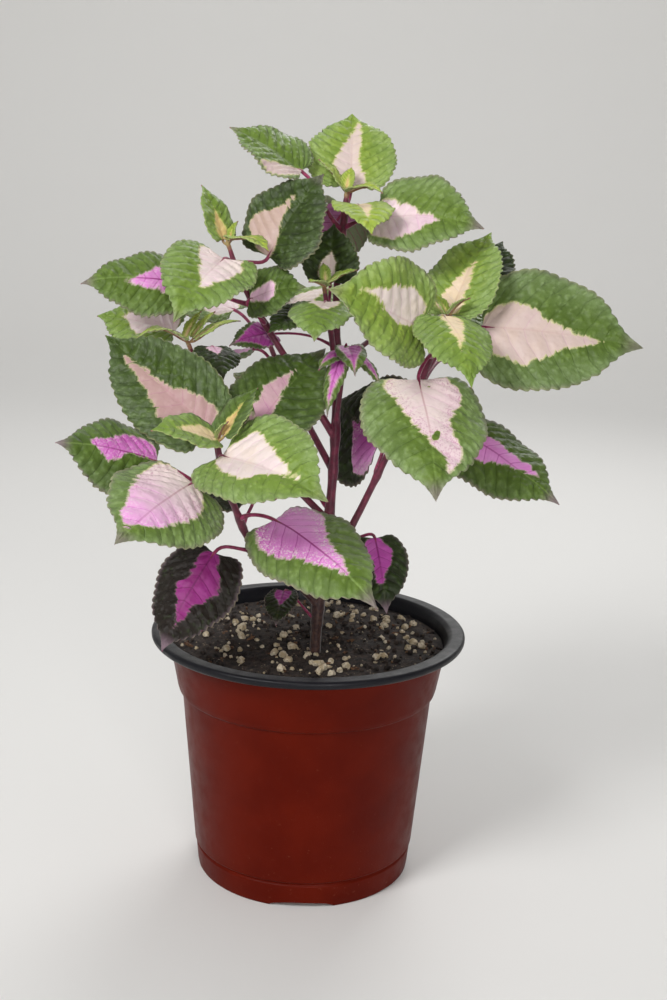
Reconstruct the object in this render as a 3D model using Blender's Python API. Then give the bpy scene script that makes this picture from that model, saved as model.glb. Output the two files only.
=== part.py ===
"""Potted coleus: a bushy plant with pink-centred, toothed leaves in a thin two-tone nursery pot.

Lengths below are in millimetres and angles in degrees; MM turns them into metres when a mesh is made.
+Z is up, the pot stands on Z = 0 and its axis is the Z axis. -Y is the front.
"""
import math
import random
from typing import NamedTuple

import bmesh
import bpy
from mathutils import Quaternion, Vector, noise

MM = 0.001
UP = Vector((0, 0, 1))
GAP = 0.3

# Pot: a thin moulded wall with a foot band, a step below the flaring collar and a flat rolled lip.
POT_SIDES = 36
POT_HEIGHT = 112.0
LIP_RADIUS = 70.0
FLOOR = 1.2
FLOOR_RISE = 2.4
PAD_RADIUS = 20.0
FOOT_RING_INNER = 44.0
NOTCHES = 4
NOTCH_WIDTH = 28.0
NOTCH_HEIGHT = 2.4
NOTCH_STEPS = 5
NOTCH_FULLNESS = 0.6
NOTCH_START = 41.0
NOTCH_REACH = 14.0
BELOW_GROUND = -1.0
DRAIN_HOLES = 8
DRAIN_HOLE_RADIUS = 4.0
DRAIN_CIRCLE_RADIUS = 32.0
DRAIN_HOLE_SIDES = 8
DRAIN_CUT_FROM = 0.5
DRAIN_CUT_TO = 5.6
POT_OUTSIDE = [(48.4, 0), (49.5, 10.6), (48.9, 11.4), (50.0, 12.4), (56.3, 84.4), (58.6, 86.6), (62.3, 108.4)]
POT_LIP = [(69.2, 108.6), (LIP_RADIUS, 109.6), (LIP_RADIUS, 111.2), (69.2, POT_HEIGHT), (63.6, POT_HEIGHT)]
POT_INSIDE = [(62.3, 110.6), (61.2, 107.6), (57.4, 87.0), (55.1, 84.7), (48.9, 12.4),
              (47.8, FLOOR_RISE + FLOOR)]

# Potting mix, with the pale grains of perlite that show on its top.
SOIL_RINGS = 4
SOIL_EDGE_LEVEL = 105.6
SOIL_CROWN = 2.0
SOIL_LUMP = 0.9
SOIL_LUMP_SCALE = 0.09
PERLITE_GRAINS = 20
PERLITE_SIZES = (1.3, 2.4)
PERLITE_FROM_WALL = 4.0
PERLITE_FROM_STEM = 6.0
PERLITE_RISE = 0.25
STEM_HOLE_SIDES = 16

# Leaves: a rounded base, the widest place at about a third, and a drawn-out tip.
BLADE_THICKNESS = 0.8
OVATE_RISE = 0.5
OVATE_FALL = 1.0
OVATE_PEAK = 0.385
LOBE_REACH = 0.10
LOBE_PLACE = 0.08
ARCH_SKEW = 0.25
MARGIN_CURL = 0.10
WAVE_COUNT = 2.3
WAVE_DEPTH = 0.07
WAVE_VARIETY = 17.0
WAVE_SIDE_SHIFT = 2.0
TOOTH_DEPTH = 0.075
EVEN_SHARE = 0.35
EASED_SHARE = 0.65
MIDDLE_LINE = 0.5

# Petioles: round stalks that curve from their seat on the stem to the blade.
PETIOLE_RADIUS = 0.9
PETIOLE_ANGLES = (30, 90, 150, 210, 270, 330)
PETIOLE_HANDLE = 0.4
PETIOLE_UPWARD = 0.7
CURVE_STEP = 0.02

# Shoot tips: a short stalk on the stem's end, thickest at half its height, with leaves one above the other.
STALK_HEIGHT = 4.5
STALK_SIDES = 6
STALK_SWELL = 1.1
STALK_TAPER = 0.8
FIRST_LEAF_AT = 0.35
NEXT_LEAF_AFTER = 0.12

# How finely a leaf is drawn: teeth on each side, rows along the blade, and lengths of petiole.
LARGE_LEAF = (7, 4, 4)
SMALL_LEAF = (6, 3, 4)
TIP_LEAF = (4, 3, 2)
TINY_LEAF = (3, 2, 1)
LARGE_FROM = 34.0
TIP_LARGE_FROM = 20.0

COLOURS = {
    "young": (0.30, 0.42, 0.06),
    "mature": (0.16, 0.30, 0.06),
    "shaded": (0.07, 0.14, 0.04),
    "magenta": (0.32, 0.05, 0.24),
    "stem": (0.10, 0.01, 0.03),
    "pot": (0.22, 0.03, 0.01),
    "soil": (0.03, 0.02, 0.015),
}


class Stem(NamedTuple):
    """A stem through hand-placed points, thinning from its first radius to its last."""
    name: str
    sides: int
    radii: tuple
    points: list


class Leaf(NamedTuple):
    """One leaf: where its petiole leaves the stem, the two ends of its blade, and how the blade is bent."""
    name: str
    stem: str
    joins_at: float
    base: tuple
    tip: tuple
    width: float
    roll: float
    arch: float
    fold: float
    kind: str


STEMS = [
    Stem("main", 8, (2.4, 1.1), [(3, -20, 84), (3, -20, 107), (4, -19, 130), (7, -15, 160), (9, -9, 195),
                                 (9, -3, 230), (8, 2, 262), (10, 7, 288), (11, 9, 300)]),
    Stem("right", 6, (1.7, 1.0), [(4, -19, 128), (10, -19, 146), (17, -18, 163), (22, -18, 174),
                                  (33, -20, 200), (43, -21, 225), (50, -22, 245), (53, -22, 252)]),
    Stem("left_front", 6, (1.7, 1.0), [(4, -19, 128), (-9, -25, 143), (-24, -36, 159), (-31, -44, 176),
                                       (-36, -48, 192), (-38, -50, 203)]),
    Stem("upper_left", 6, (1.6, 0.9), [(9, -8, 200), (-5, -8, 222), (-20, -8, 245), (-32, -7, 265),
                                       (-37, -6, 278)]),
    Stem("left_back", 6, (1.5, 0.9), [(7, -14, 165), (-12, -6, 182), (-32, -1, 203), (-48, 2, 222),
                                      (-54, 3, 235)]),
    Stem("centre", 6, (1.3, 0.9), [(9, -4, 225), (6, -9, 245), (3, -12, 262)]),
    Stem("middle", 6, (1.1, 0.8), [(9, -8, 205), (11, -14, 225), (12, -19, 238)]),
    Stem("back_left", 6, (1.5, 0.9), [(9, -10, 185), (-4, 8, 205), (-18, 28, 228), (-26, 40, 246)]),
    Stem("back_right", 6, (1.3, 0.9), [(9, -4, 225), (17, 8, 235), (28, 23, 242), (37, 36, 250)]),
]

LEAVES = [
    # name, stem, height on the stem, blade base, blade tip, width, roll, arch, fold, kind
    Leaf("leaf_top_1", "main", 296, (13, 17, 305), (13, 44, 336), 39, 0, 0.06, 10, "mature"),
    Leaf("leaf_top_2", "main", 294, (16, 2, 298), (21, -26, 287), 26, 0, 0.12, 8, "young"),
    Leaf("leaf_top_3", "main", 288, (25, 5, 293), (68, -10, 290), 40, 50, 0.10, 12, "mature"),
    Leaf("leaf_top_4", "main", 287, (-8, 9, 311), (-39, 14, 328), 32, -28, 0.05, 8, "mature"),
    Leaf("leaf_top_5", "main", 284, (11, 17, 296), (-5, 26, 271), 32, 50, 0.05, -5, "shaded"),
    Leaf("leaf_centre_1", "centre", 255, (5, -4, 266), (6, -1, 290), 25, 0, 0.05, 8, "mature"),
    Leaf("leaf_centre_2", "centre", 256, (3, -18, 259), (-1, -48, 246), 27, 0, 0.12, -5, "mature"),
    Leaf("leaf_centre_3", "centre", 248, (-2, -13, 254), (-20, -26, 246), 20, -15, 0.10, 5, "shaded"),
    Leaf("leaf_right_1", "right", 244, (42, -28, 250), (4, -50, 267), 44, -72, 0.08, 20, "mature"),
    Leaf("leaf_right_2", "right", 247, (55, -17, 255), (73, 6, 288), 34, 5, 0.06, 10, "mature"),
    Leaf("leaf_right_3", "right", 249, (51, -31, 256), (60, -66, 232), 31, 0, 0.14, -10, "young"),
    Leaf("leaf_right_4", "right", 240, (69, -14, 250), (135, -22, 244), 54, 60, 0.06, 6, "mature"),
    Leaf("leaf_right_5", "right", 230, (62, 4, 255), (82, 36, 283), 34, 0, 0.05, 8, "shaded"),
    Leaf("leaf_right_6", "right", 238, (42, -33, 230), (48, -70, 188), 52, 0, 0.10, -6, "mature"),
    Leaf("leaf_right_7", "right", 200, (62, -14, 206), (103, -32, 179), 40, 28, 0.05, -8, "shaded"),
    Leaf("leaf_right_8", "right", 186, (28, -11, 200), (10, 24, 211), 54, -62, 0.08, -10, "shaded"),
    Leaf("leaf_left_front_1", "left_front", 197, (-43, -42, 209), (-88, -14, 242), 40, -48, 0.05, 5, "mature"),
    Leaf("leaf_left_front_2", "left_front", 190, (-26, -38, 206), (4, -5, 238), 41, 26, 0.05, 8, "shaded"),
    Leaf("leaf_left_front_3", "left_front", 196, (-36, -56, 201), (6, -92, 192), 46, 33, 0.08, 14, "mature"),
    Leaf("leaf_left_front_4", "left_front", 184, (-47, -62, 191), (-71, -108, 178), 46, -32, 0.08, -6, "mature"),
    Leaf("leaf_left_front_5", "left_front", 182, (-62, -52, 197), (-100, -64, 206), 39, -42, 0.08, -12, "magenta"),
    Leaf("leaf_left_front_6", "left_front", 168, (-26, -34, 180), (-46, -16, 176), 26, -30, 0.10, 5, "shaded"),
    Leaf("leaf_left_front_7", "left_front", 172, (-15, -50, 174), (26, -90, 150), 42, 24, 0.10, -10, "magenta"),
    Leaf("leaf_left_front_8", "left_front", 157, (-40, -38, 156), (-60, -54, 118), 36, -32, 0.10, -10, "magenta"),
    Leaf("leaf_upper_left_1", "upper_left", 271, (-21, -10, 276), (1, -3, 310), 40, 38, 0.06, 10, "mature"),
    Leaf("leaf_upper_left_2", "upper_left", 272, (-39, -14, 275), (-56, -50, 252), 38, -22, 0.10, 12, "mature"),
    Leaf("leaf_upper_left_3", "upper_left", 256, (-56, 2, 263), (-100, -2, 262), 34, -46, 0.10, -8, "shaded"),
    Leaf("leaf_upper_left_4", "upper_left", 248, (-28, -15, 259), (-5, -21, 265), 26, 48, 0.08, 8, "shaded"),
    Leaf("leaf_left_back_1", "left_back", 228, (-62, 15, 241), (-97, 22, 246), 36, -30, 0.05, 6, "mature"),
    Leaf("leaf_left_back_2", "left_back", 228, (-44, -1, 237), (-38, -22, 226), 20, 0, 0.12, -5, "shaded"),
    Leaf("leaf_left_back_3", "main", 238, (-18, 2, 243), (-37, -6, 238), 15, -40, 0.10, 5, "magenta"),
    Leaf("leaf_low_1", "right", 157, (27, -26, 161), (32, -46, 134), 25, 10, 0.12, -8, "magenta"),
    Leaf("leaf_low_2", "main", 122, (-11, -18, 134), (-14, -36, 124), 14, 0, 0.10, 5, "shaded"),
    Leaf("leaf_back_left_1", "back_left", 240, (-38, 48, 248), (-82, 72, 252), 40, -10, 0.08, -6, "mature"),
    Leaf("leaf_back_left_2", "back_left", 240, (-14, 46, 250), (14, 76, 258), 38, 0, 0.08, -6, "mature"),
    Leaf("leaf_back_left_3", "back_left", 222, (-28, 20, 234), (-56, 26, 222), 30, 0, 0.10, -6, "shaded"),
    Leaf("leaf_back_left_4", "back_left", 222, (-12, 44, 222), (-26, 92, 206), 44, 0, 0.10, -8, "mature"),
    Leaf("leaf_back_right_1", "back_right", 246, (49, 43, 246), (88, 68, 246), 42, 10, 0.08, -6, "mature"),
    Leaf("leaf_back_right_2", "back_right", 244, (28, 46, 250), (4, 86, 240), 38, 0, 0.08, -6, "mature"),
    Leaf("leaf_back_right_3", "right", 226, (60, 8, 236), (96, 36, 232), 36, 0, 0.10, -8, "shaded"),
    Leaf("leaf_back_right_4", "right", 204, (45, 10, 210), (62, 48, 197), 42, 0, 0.10, -8, "magenta"),
    Leaf("leaf_back_low_1", "main", 170, (-8, 4, 184), (-44, 44, 176), 40, 0, 0.10, -8, "magenta"),
    Leaf("leaf_back_low_2", "main", 138, (10, 4, 150), (22, 43, 138), 32, 0, 0.10, -8, "magenta"),
    Leaf("leaf_back_low_3", "main", 134, (-6, 2, 146), (-24, 42, 134), 33, 0, 0.10, -8, "shaded"),
]

# Shoot tips: the smallest leaves of each shoot, which grow together from one short stalk.
TIPS = {
    "shoot_tip_top": ("main", [
        ((11, 11, 303), (-1, 15, 316), 12, 0, 0.05, 14),
        ((12, 9, 303), (26, -1, 303), 9, 10, 0.15, 18),
        ((11, 10, 304), (13, 17, 313), 6, 0, 0.1, 18),
    ]),
    "shoot_tip_centre": ("centre", [
        ((4, -13, 266), (16, -14, 272), 9, 10, 0.08, 14),
        ((3, -13, 265), (-4, -20, 267), 8, 0, 0.1, 14),
        ((3, -12, 267), (2, -8, 274), 5, 0, 0.1, 18),
    ]),
    "shoot_tip_right": ("right", [
        ((53, -23, 256), (46, -18, 264), 7, 0, 0.1, 16),
        ((54, -22, 256), (62, -26, 263), 7, 0, 0.1, 16),
    ]),
    "shoot_tip_left_front": ("left_front", [
        ((-39, -51, 207), (-63, -65, 212), 21, -28, 0.08, 10),
        ((-36, -51, 208), (-23, -40, 226), 18, 0, 0.06, 10),
        ((-38, -50, 207), (-34, -52, 214), 6, 0, 0.1, 16),
    ]),
    "shoot_tip_upper_left": ("upper_left", [
        ((-40, -4, 282), (-50, 5, 304), 16, 0, 0.06, 10),
        ((-36, -9, 283), (-20, -27, 279), 13, 0, 0.12, 8),
        ((-37, -6, 282), (-34, -4, 290), 6, 0, 0.1, 16),
    ]),
    "shoot_tip_left_back": ("left_back", [
        ((-56, 1, 239), (-76, -6, 240), 13, 0, 0.22, 8),
        ((-56, 3, 240), (-50, 8, 251), 7, 0, 0.05, 18),
        ((-53, 4, 240), (-44, 9, 251), 7, 0, 0.05, 18),
        ((-52, 4, 239), (-33, 10, 247), 11, 0, 0.1, 10),
    ]),
    "shoot_tip_middle": ("middle", [
        ((13, -20, 241), (16, -36, 231), 13, 0, 0.14, 8),
        ((14, -20, 241), (27, -30, 225), 9, 0, 0.1, -8),
        ((11, -20, 240), (1, -29, 232), 11, 0, 0.1, -8),
        ((11, -21, 239), (5, -37, 214), 9, 0, 0.1, -8),
    ]),
    "shoot_tip_back_left": ("back_left", [
        ((-27, 41, 250), (-37, 36, 263), 14, 0, 0.06, 10),
        ((-26, 42, 250), (-16, 52, 262), 14, 0, 0.06, 10),
        ((-26, 41, 251), (-24, 40, 260), 6, 0, 0.1, 16),
    ]),
    "shoot_tip_back_right": ("back_right", [
        ((38, 36, 254), (30, 28, 266), 14, 0, 0.06, 10),
        ((40, 39, 254), (52, 50, 265), 14, 0, 0.06, 10),
        ((40, 38, 255), (42, 37, 263), 6, 0, 0.1, 16),
    ]),
}


def clear_scene():
    for obj in list(bpy.data.objects):
        bpy.data.objects.remove(obj, do_unlink=True)


def material(name, colour, roughness=0.6):
    mat = bpy.data.materials.new(name)
    mat.use_nodes = True
    shader = mat.node_tree.nodes["Principled BSDF"]
    shader.inputs["Base Color"].default_value = (*colour, 1)
    shader.inputs["Roughness"].default_value = roughness
    return mat


def object_from(bm, name, mat, sharp_angle=40):
    """Put a bmesh that is drawn in millimetres into the scene, in metres, as a smooth-shaded object."""
    bmesh.ops.scale(bm, vec=Vector((MM, MM, MM)), verts=bm.verts)
    mesh = bpy.data.meshes.new(name)
    bm.to_mesh(mesh)
    bm.free()
    mesh.shade_smooth()
    mesh.set_sharp_from_angle(angle=math.radians(sharp_angle))
    mesh.materials.append(mat)
    obj = bpy.data.objects.new(name, mesh)
    bpy.context.scene.collection.objects.link(obj)
    return obj


def apply_boolean(obj, operation, cutters, solver="EXACT"):
    """Join or cut obj with a list of objects, which are then removed."""
    group = bpy.data.collections.new(obj.name + "_cutters")
    bpy.context.scene.collection.children.link(group)
    for cutter in cutters:
        bpy.context.scene.collection.objects.unlink(cutter)
        group.objects.link(cutter)
    modifier = obj.modifiers.new("join", "BOOLEAN")
    modifier.operation = operation
    modifier.solver = solver
    modifier.operand_type = "COLLECTION"
    modifier.collection = group
    graph = bpy.context.evaluated_depsgraph_get()
    finished = bpy.data.meshes.new_from_object(obj.evaluated_get(graph), depsgraph=graph)
    obj.modifiers.clear()
    obj.data = finished
    for cutter in cutters:
        bpy.data.objects.remove(cutter, do_unlink=True)
    bpy.data.collections.remove(group)
    drop_scraps(finished)


def drop_scraps(mesh):
    """Keep only the largest body of a mesh, without the slivers that a Boolean can leave."""
    bm = bmesh.new()
    bm.from_mesh(mesh)
    unseen = set(bm.verts)
    bodies = []
    while unseen:
        body, edge = set(), {unseen.pop()}
        while edge:
            body |= edge
            edge = {link.other_vert(vert) for vert in edge for link in vert.link_edges} - body
        unseen -= body
        bodies.append(body)
    bodies.sort(key=len)
    for body in bodies[:-1]:
        bmesh.ops.delete(bm, geom=list(body), context="VERTS")
    bm.to_mesh(mesh)
    bm.free()


def spin_profile(profile, sides):
    """Turn a profile of (radius, height) points that starts and ends on the Z axis into a closed solid."""
    bm = bmesh.new()
    verts = [bm.verts.new((radius, 0, height)) for radius, height in profile]
    edges = [bm.edges.new(pair) for pair in zip(verts, verts[1:])]
    bmesh.ops.spin(bm, geom=verts + edges, cent=(0, 0, 0), axis=(0, 0, 1), angle=math.tau,
                   steps=sides, use_merge=True)
    bmesh.ops.remove_doubles(bm, verts=bm.verts, dist=0.001)
    bmesh.ops.recalc_face_normals(bm, faces=bm.faces)
    return bm


def cylinder(name, radius, low, high, centre, sides):
    bm = bmesh.new()
    bmesh.ops.create_cone(bm, cap_ends=True, segments=sides, radius1=radius, radius2=radius, depth=high - low)
    bmesh.ops.translate(bm, verts=bm.verts, vec=(centre[0], centre[1], (low + high) / 2))
    return object_from(bm, name, None)


def notch_cutter(turn):
    """A flat-bottomed arch that runs out through the foot ring."""
    bm = bmesh.new()
    half = NOTCH_WIDTH / 2
    outline = [(-half, BELOW_GROUND)]
    for step in range(NOTCH_STEPS + 1):
        angle = math.pi * (1 - step / NOTCH_STEPS)
        outline.append((half * math.cos(angle), NOTCH_HEIGHT * math.sin(angle) ** NOTCH_FULLNESS))
    outline.append((half, BELOW_GROUND))
    verts = [bm.verts.new((NOTCH_START, x, z)) for x, z in outline]
    face = bm.faces.new(verts)
    pushed = bmesh.ops.extrude_face_region(bm, geom=[face])
    moved = [item for item in pushed["geom"] if isinstance(item, bmesh.types.BMVert)]
    bmesh.ops.translate(bm, verts=moved, vec=(NOTCH_REACH, 0, 0))
    bmesh.ops.recalc_face_normals(bm, faces=bm.faces)
    bmesh.ops.rotate(bm, verts=bm.verts, cent=(0, 0, 0), matrix=Quaternion(UP, turn).to_matrix())
    return object_from(bm, "notch", None)


def build_pot():
    pad = [(0, 0), (PAD_RADIUS, 0), (PAD_RADIUS + 1.5, FLOOR_RISE)]
    under = pad + [(FOOT_RING_INNER - 1, FLOOR_RISE), (FOOT_RING_INNER, 0)]
    top = [(PAD_RADIUS + 2, FLOOR_RISE + FLOOR), (PAD_RADIUS - 0.5, FLOOR), (0, FLOOR)]
    bm = spin_profile(under + POT_OUTSIDE + POT_LIP + POT_INSIDE + top, POT_SIDES)
    pot = object_from(bm, "pot", material("pot", COLOURS["pot"], 0.4))
    front = -math.pi / 2
    cutters = [notch_cutter(front + math.tau * turn / NOTCHES) for turn in range(NOTCHES)]
    for turn in range(DRAIN_HOLES):
        angle = math.tau * (turn + 0.5) / DRAIN_HOLES
        centre = (DRAIN_CIRCLE_RADIUS * math.cos(angle), DRAIN_CIRCLE_RADIUS * math.sin(angle))
        drain = cylinder("drain", DRAIN_HOLE_RADIUS, DRAIN_CUT_FROM, DRAIN_CUT_TO, centre, DRAIN_HOLE_SIDES)
        cutters.append(drain)
    apply_boolean(pot, "DIFFERENCE", cutters)


def pot_inner_radius(height):
    """Radius of the pot's inner wall at a height."""
    wall = sorted((z, radius) for radius, z in POT_INSIDE)
    for (low, low_radius), (high, high_radius) in zip(wall, wall[1:]):
        if height <= high:
            return low_radius + (high_radius - low_radius) * (height - low) / (high - low)
    return wall[-1][1]


def soil_level(x, y):
    """Height of the mix's top: highest in the middle, with small lumps."""
    edge = pot_inner_radius(SOIL_EDGE_LEVEL)
    crown = SOIL_CROWN * (1 - (x * x + y * y) / edge ** 2)
    return SOIL_EDGE_LEVEL + crown + SOIL_LUMP * noise.noise(Vector((x, y, 0)) * SOIL_LUMP_SCALE)


def build_soil():
    wall = [(radius - GAP, z) for radius, z in reversed(POT_INSIDE) if z < SOIL_EDGE_LEVEL]
    wall[0] = (wall[0][0], wall[0][1] + GAP)
    edge = pot_inner_radius(SOIL_EDGE_LEVEL) - GAP
    rings = [(edge * ring / SOIL_RINGS, SOIL_EDGE_LEVEL) for ring in range(SOIL_RINGS, -1, -1)]
    bm = spin_profile([(0, wall[0][1])] + wall + rings, POT_SIDES)
    for vert in bm.verts:
        inside = math.hypot(vert.co.x, vert.co.y) < edge - 1
        if inside and vert.co.z > SOIL_EDGE_LEVEL - 0.1:
            vert.co.z = soil_level(vert.co.x, vert.co.y)
    soil = object_from(bm, "soil", material("soil", COLOURS["soil"], 0.95))
    foot = STEMS[0].points[0]
    hole = cylinder("hole", STEMS[0].radii[0] + GAP, foot[2] - GAP, POT_HEIGHT, foot, STEM_HOLE_SIDES)
    apply_boolean(soil, "DIFFERENCE", [hole])
    apply_boolean(soil, "UNION", perlite_grains(edge))


def perlite_grains(edge):
    """Angular pale grains, half sunk in the mix."""
    rng = random.Random(11)
    grains = []
    foot = Vector(STEMS[0].points[0])
    while len(grains) < PERLITE_GRAINS:
        angle = rng.uniform(0, math.tau)
        radius = (edge - PERLITE_FROM_WALL) * math.sqrt(rng.random())
        x, y = radius * math.cos(angle), radius * math.sin(angle)
        size = rng.uniform(*PERLITE_SIZES)
        if math.hypot(x - foot.x, y - foot.y) < PERLITE_FROM_STEM:
            continue
        bm = bmesh.new()
        bmesh.ops.create_icosphere(bm, subdivisions=1, radius=size)
        for vert in bm.verts:
            vert.co *= rng.uniform(0.8, 1.1)
        spin = Quaternion((rng.random(), rng.random(), 1), rng.uniform(0, math.tau))
        bmesh.ops.rotate(bm, verts=bm.verts, cent=(0, 0, 0), matrix=spin.to_matrix())
        bmesh.ops.translate(bm, verts=bm.verts, vec=(x, y, soil_level(x, y) + size * PERLITE_RISE))
        grains.append(object_from(bm, "grain", None))
    return grains


def curve_point(points, place):
    """Point of the smooth curve through the points; place runs from 0 to their count less one."""
    index = min(int(place), len(points) - 2)
    u = place - index
    before = points[max(index - 1, 0)]
    start, end = points[index], points[index + 1]
    after = points[min(index + 2, len(points) - 1)]
    return 0.5 * (2 * start + (end - before) * u + (2 * before - 5 * start + 4 * end - after) * u ** 2
                  + (3 * start - before - 3 * end + after) * u ** 3)


def stem_place(stem, height):
    """Centre, direction and radius of a stem where it reaches a height."""
    points = [Vector(point) for point in stem.points]
    last = len(points) - 1
    low, high = 0.0, float(last)
    for _ in range(30):
        middle = (low + high) / 2
        if curve_point(points, middle).z < height:
            low = middle
        else:
            high = middle
    centre = curve_point(points, low)
    ahead = curve_point(points, min(low + 0.1, last)) - curve_point(points, max(low - 0.1, 0))
    thick, thin = stem.radii
    return centre, ahead.normalized(), thick + (thin - thick) * low / last


def tube(name, centres, radii, sides):
    """A closed round tube along a list of centres."""
    bm = bmesh.new()
    side = Vector((1, 0, 0))
    previous = None
    for index, centre in enumerate(centres):
        ahead = centres[min(index + 1, len(centres) - 1)] - centres[max(index - 1, 0)]
        ahead.normalize()
        side = (side - ahead * side.dot(ahead)).normalized()
        other = ahead.cross(side)
        ring = []
        for step in range(sides):
            angle = math.tau * step / sides
            spoke = side * math.cos(angle) + other * math.sin(angle)
            ring.append(bm.verts.new(centre + spoke * radii[index]))
        if previous:
            for step in range(sides):
                after = (step + 1) % sides
                bm.faces.new((previous[step], previous[after], ring[after], ring[step]))
        else:
            bm.faces.new(list(reversed(ring)))
        previous = ring
    bm.faces.new(previous)
    return object_from(bm, name, None)


def build_stems():
    """The main stem and its branches, joined into one solid."""
    tubes = []
    for stem in STEMS:
        points = [Vector(point) for point in stem.points]
        steps = 2 * (len(points) - 1)
        centres = [curve_point(points, (len(points) - 1) * step / steps) for step in range(steps + 1)]
        thick, thin = stem.radii
        radii = [thick + (thin - thick) * step / steps for step in range(steps + 1)]
        tubes.append(tube(stem.name, centres, radii, stem.sides))
    stems = tubes[0]
    stems.name = "stems"
    stems.data.materials.clear()
    stems.data.materials.append(material("stem", COLOURS["stem"], 0.5))
    apply_boolean(stems, "UNION", tubes[1:])


class Blade:
    """The bent, folded surface of one leaf blade, read by place along it and place across it."""

    def __init__(self, base, tip, width, roll, arch, fold):
        self.base, self.width, self.arch, self.fold = Vector(base), width, arch, math.radians(fold)
        reach = Vector(tip) - self.base
        self.length = reach.length
        self.along = reach.normalized()
        self.normal = (UP - self.along * UP.dot(self.along)).normalized()
        self.normal.rotate(Quaternion(self.along, math.radians(roll)))
        self.across = self.normal.cross(self.along)
        self.phase = (self.base.x + 2 * self.base.z) / WAVE_VARIETY

    def half_width(self, s):
        shape = s ** OVATE_RISE * (1 - s) ** OVATE_FALL / OVATE_PEAK
        return max(self.width / 2 * shape, PETIOLE_RADIUS * 0.9 if s < 0.5 else 0)

    def point(self, s, t, trim=0.0):
        """s is 0 at the base and 1 at the tip, t is 0 on the midrib and 1 or -1 at the margins."""
        half = self.half_width(s) * (1 - trim)
        lobe = LOBE_REACH * t * t * (s / LOBE_PLACE) * math.exp(1 - s / LOBE_PLACE)
        lift = self.length * self.arch * 4 * s * (1 - s) * (1 + ARCH_SKEW * (2 * s - 1))
        lift += abs(t) * half * math.tan(self.fold) - t * t * half * MARGIN_CURL
        wave = math.sin(math.tau * WAVE_COUNT * s + self.phase + (WAVE_SIDE_SHIFT if t > 0 else 0))
        lift += t * t * half * WAVE_DEPTH * wave
        return (self.base + self.along * self.length * (s - lobe) + self.across * half * t
                + self.normal * lift)

    def rise(self):
        """Direction of the midrib where the petiole meets it."""
        slope = self.arch * 4 * (1 - ARCH_SKEW)
        return (self.along + self.normal * slope).normalized()


def margin_places(teeth):
    """Places along the margin, closer together towards the base and the tip."""
    count = 2 * teeth
    places = []
    for step in range(count + 1):
        even = step / count
        eased = (1 - math.cos(math.pi * even)) / 2
        places.append(EVEN_SHARE * even + EASED_SHARE * eased)
    return places


def stitch(bm, left, right, flip):
    """Fill the strip between two lines of (place, vertex) that run from the base to the tip."""
    i = j = 0
    while i < len(left) - 1 or j < len(right) - 1:
        step_left = j == len(right) - 1 or (i < len(left) - 1 and left[i + 1][0] <= right[j + 1][0])
        if step_left:
            corners = (right[j][1], left[i + 1][1], left[i][1])
            i += 1
        else:
            corners = (right[j][1], right[j + 1][1], left[i][1])
            j += 1
        if len(set(corners)) == 3:
            bm.faces.new(tuple(reversed(corners)) if flip else corners)


def blade_sheet(bm, blade, teeth, rows, flip):
    """One face of the blade. Returns its lines of vertices, from the left margin to the right one."""
    def vertex(s, t, trim=0.0):
        return bm.verts.new(blade.point(s, t, trim))

    inner = [row / rows for row in range(1, rows)]
    root, tip = vertex(0, 0), vertex(1, 0)
    lines = []
    for side in (1, -1):
        margin = []
        for step, s in enumerate(margin_places(teeth)[:-1]):
            trim = TOOTH_DEPTH if step % 2 == 0 and step else 0
            margin.append((s, vertex(s, side, trim)))
        margin.append((1, tip))
        middle = [(0, root)] + [(s, vertex(s, side * MIDDLE_LINE)) for s in inner] + [(1, tip)]
        lines.append((margin, middle))
    midrib = [(0, root)] + [(s, vertex(s, 0)) for s in inner] + [(1, tip)]
    (left_margin, left_middle), (right_margin, right_middle) = lines
    stitch(bm, left_margin, left_middle, flip)
    stitch(bm, left_middle, midrib, flip)
    stitch(bm, midrib, right_middle, flip)
    stitch(bm, right_middle, right_margin, flip)
    return left_margin, right_margin, root


def blade_solid(bm, blade, teeth, rows):
    """The blade as a thin closed sheet, open only at the ring where the petiole starts."""
    first = len(bm.verts)
    top = blade_sheet(bm, blade, teeth, rows, False)
    bm.verts.ensure_lookup_table()
    middle = len(bm.verts)
    bm.normal_update()
    normals = [bm.verts[index].normal.copy() for index in range(first, middle)]
    below = blade_sheet(bm, blade, teeth, rows, True)
    bm.verts.ensure_lookup_table()
    for index, normal in enumerate(normals):
        bm.verts[middle + index].co -= normal * BLADE_THICKNESS
    for side, (upper, lower) in enumerate(zip(top[:2], below[:2])):
        for step in range(len(upper) - 1):
            a, b = upper[step][1], upper[step + 1][1]
            c, d = lower[step + 1][1], lower[step][1]
            corners = [(a, b, c), (a, c, d)]
            for corner in corners:
                bm.faces.new(corner if side == 0 else tuple(reversed(corner)))
    left, right, root = (line[0][1] if isinstance(line, list) else line for line in top)
    left_low, right_low, root_low = (line[0][1] if isinstance(line, list) else line for line in below)
    return [left, root, right, right_low, root_low, left_low]


def bezier(a, b, c, d, u):
    v = 1 - u
    return a * v ** 3 + b * 3 * v * v * u + c * 3 * v * u * u + d * u ** 3


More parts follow.
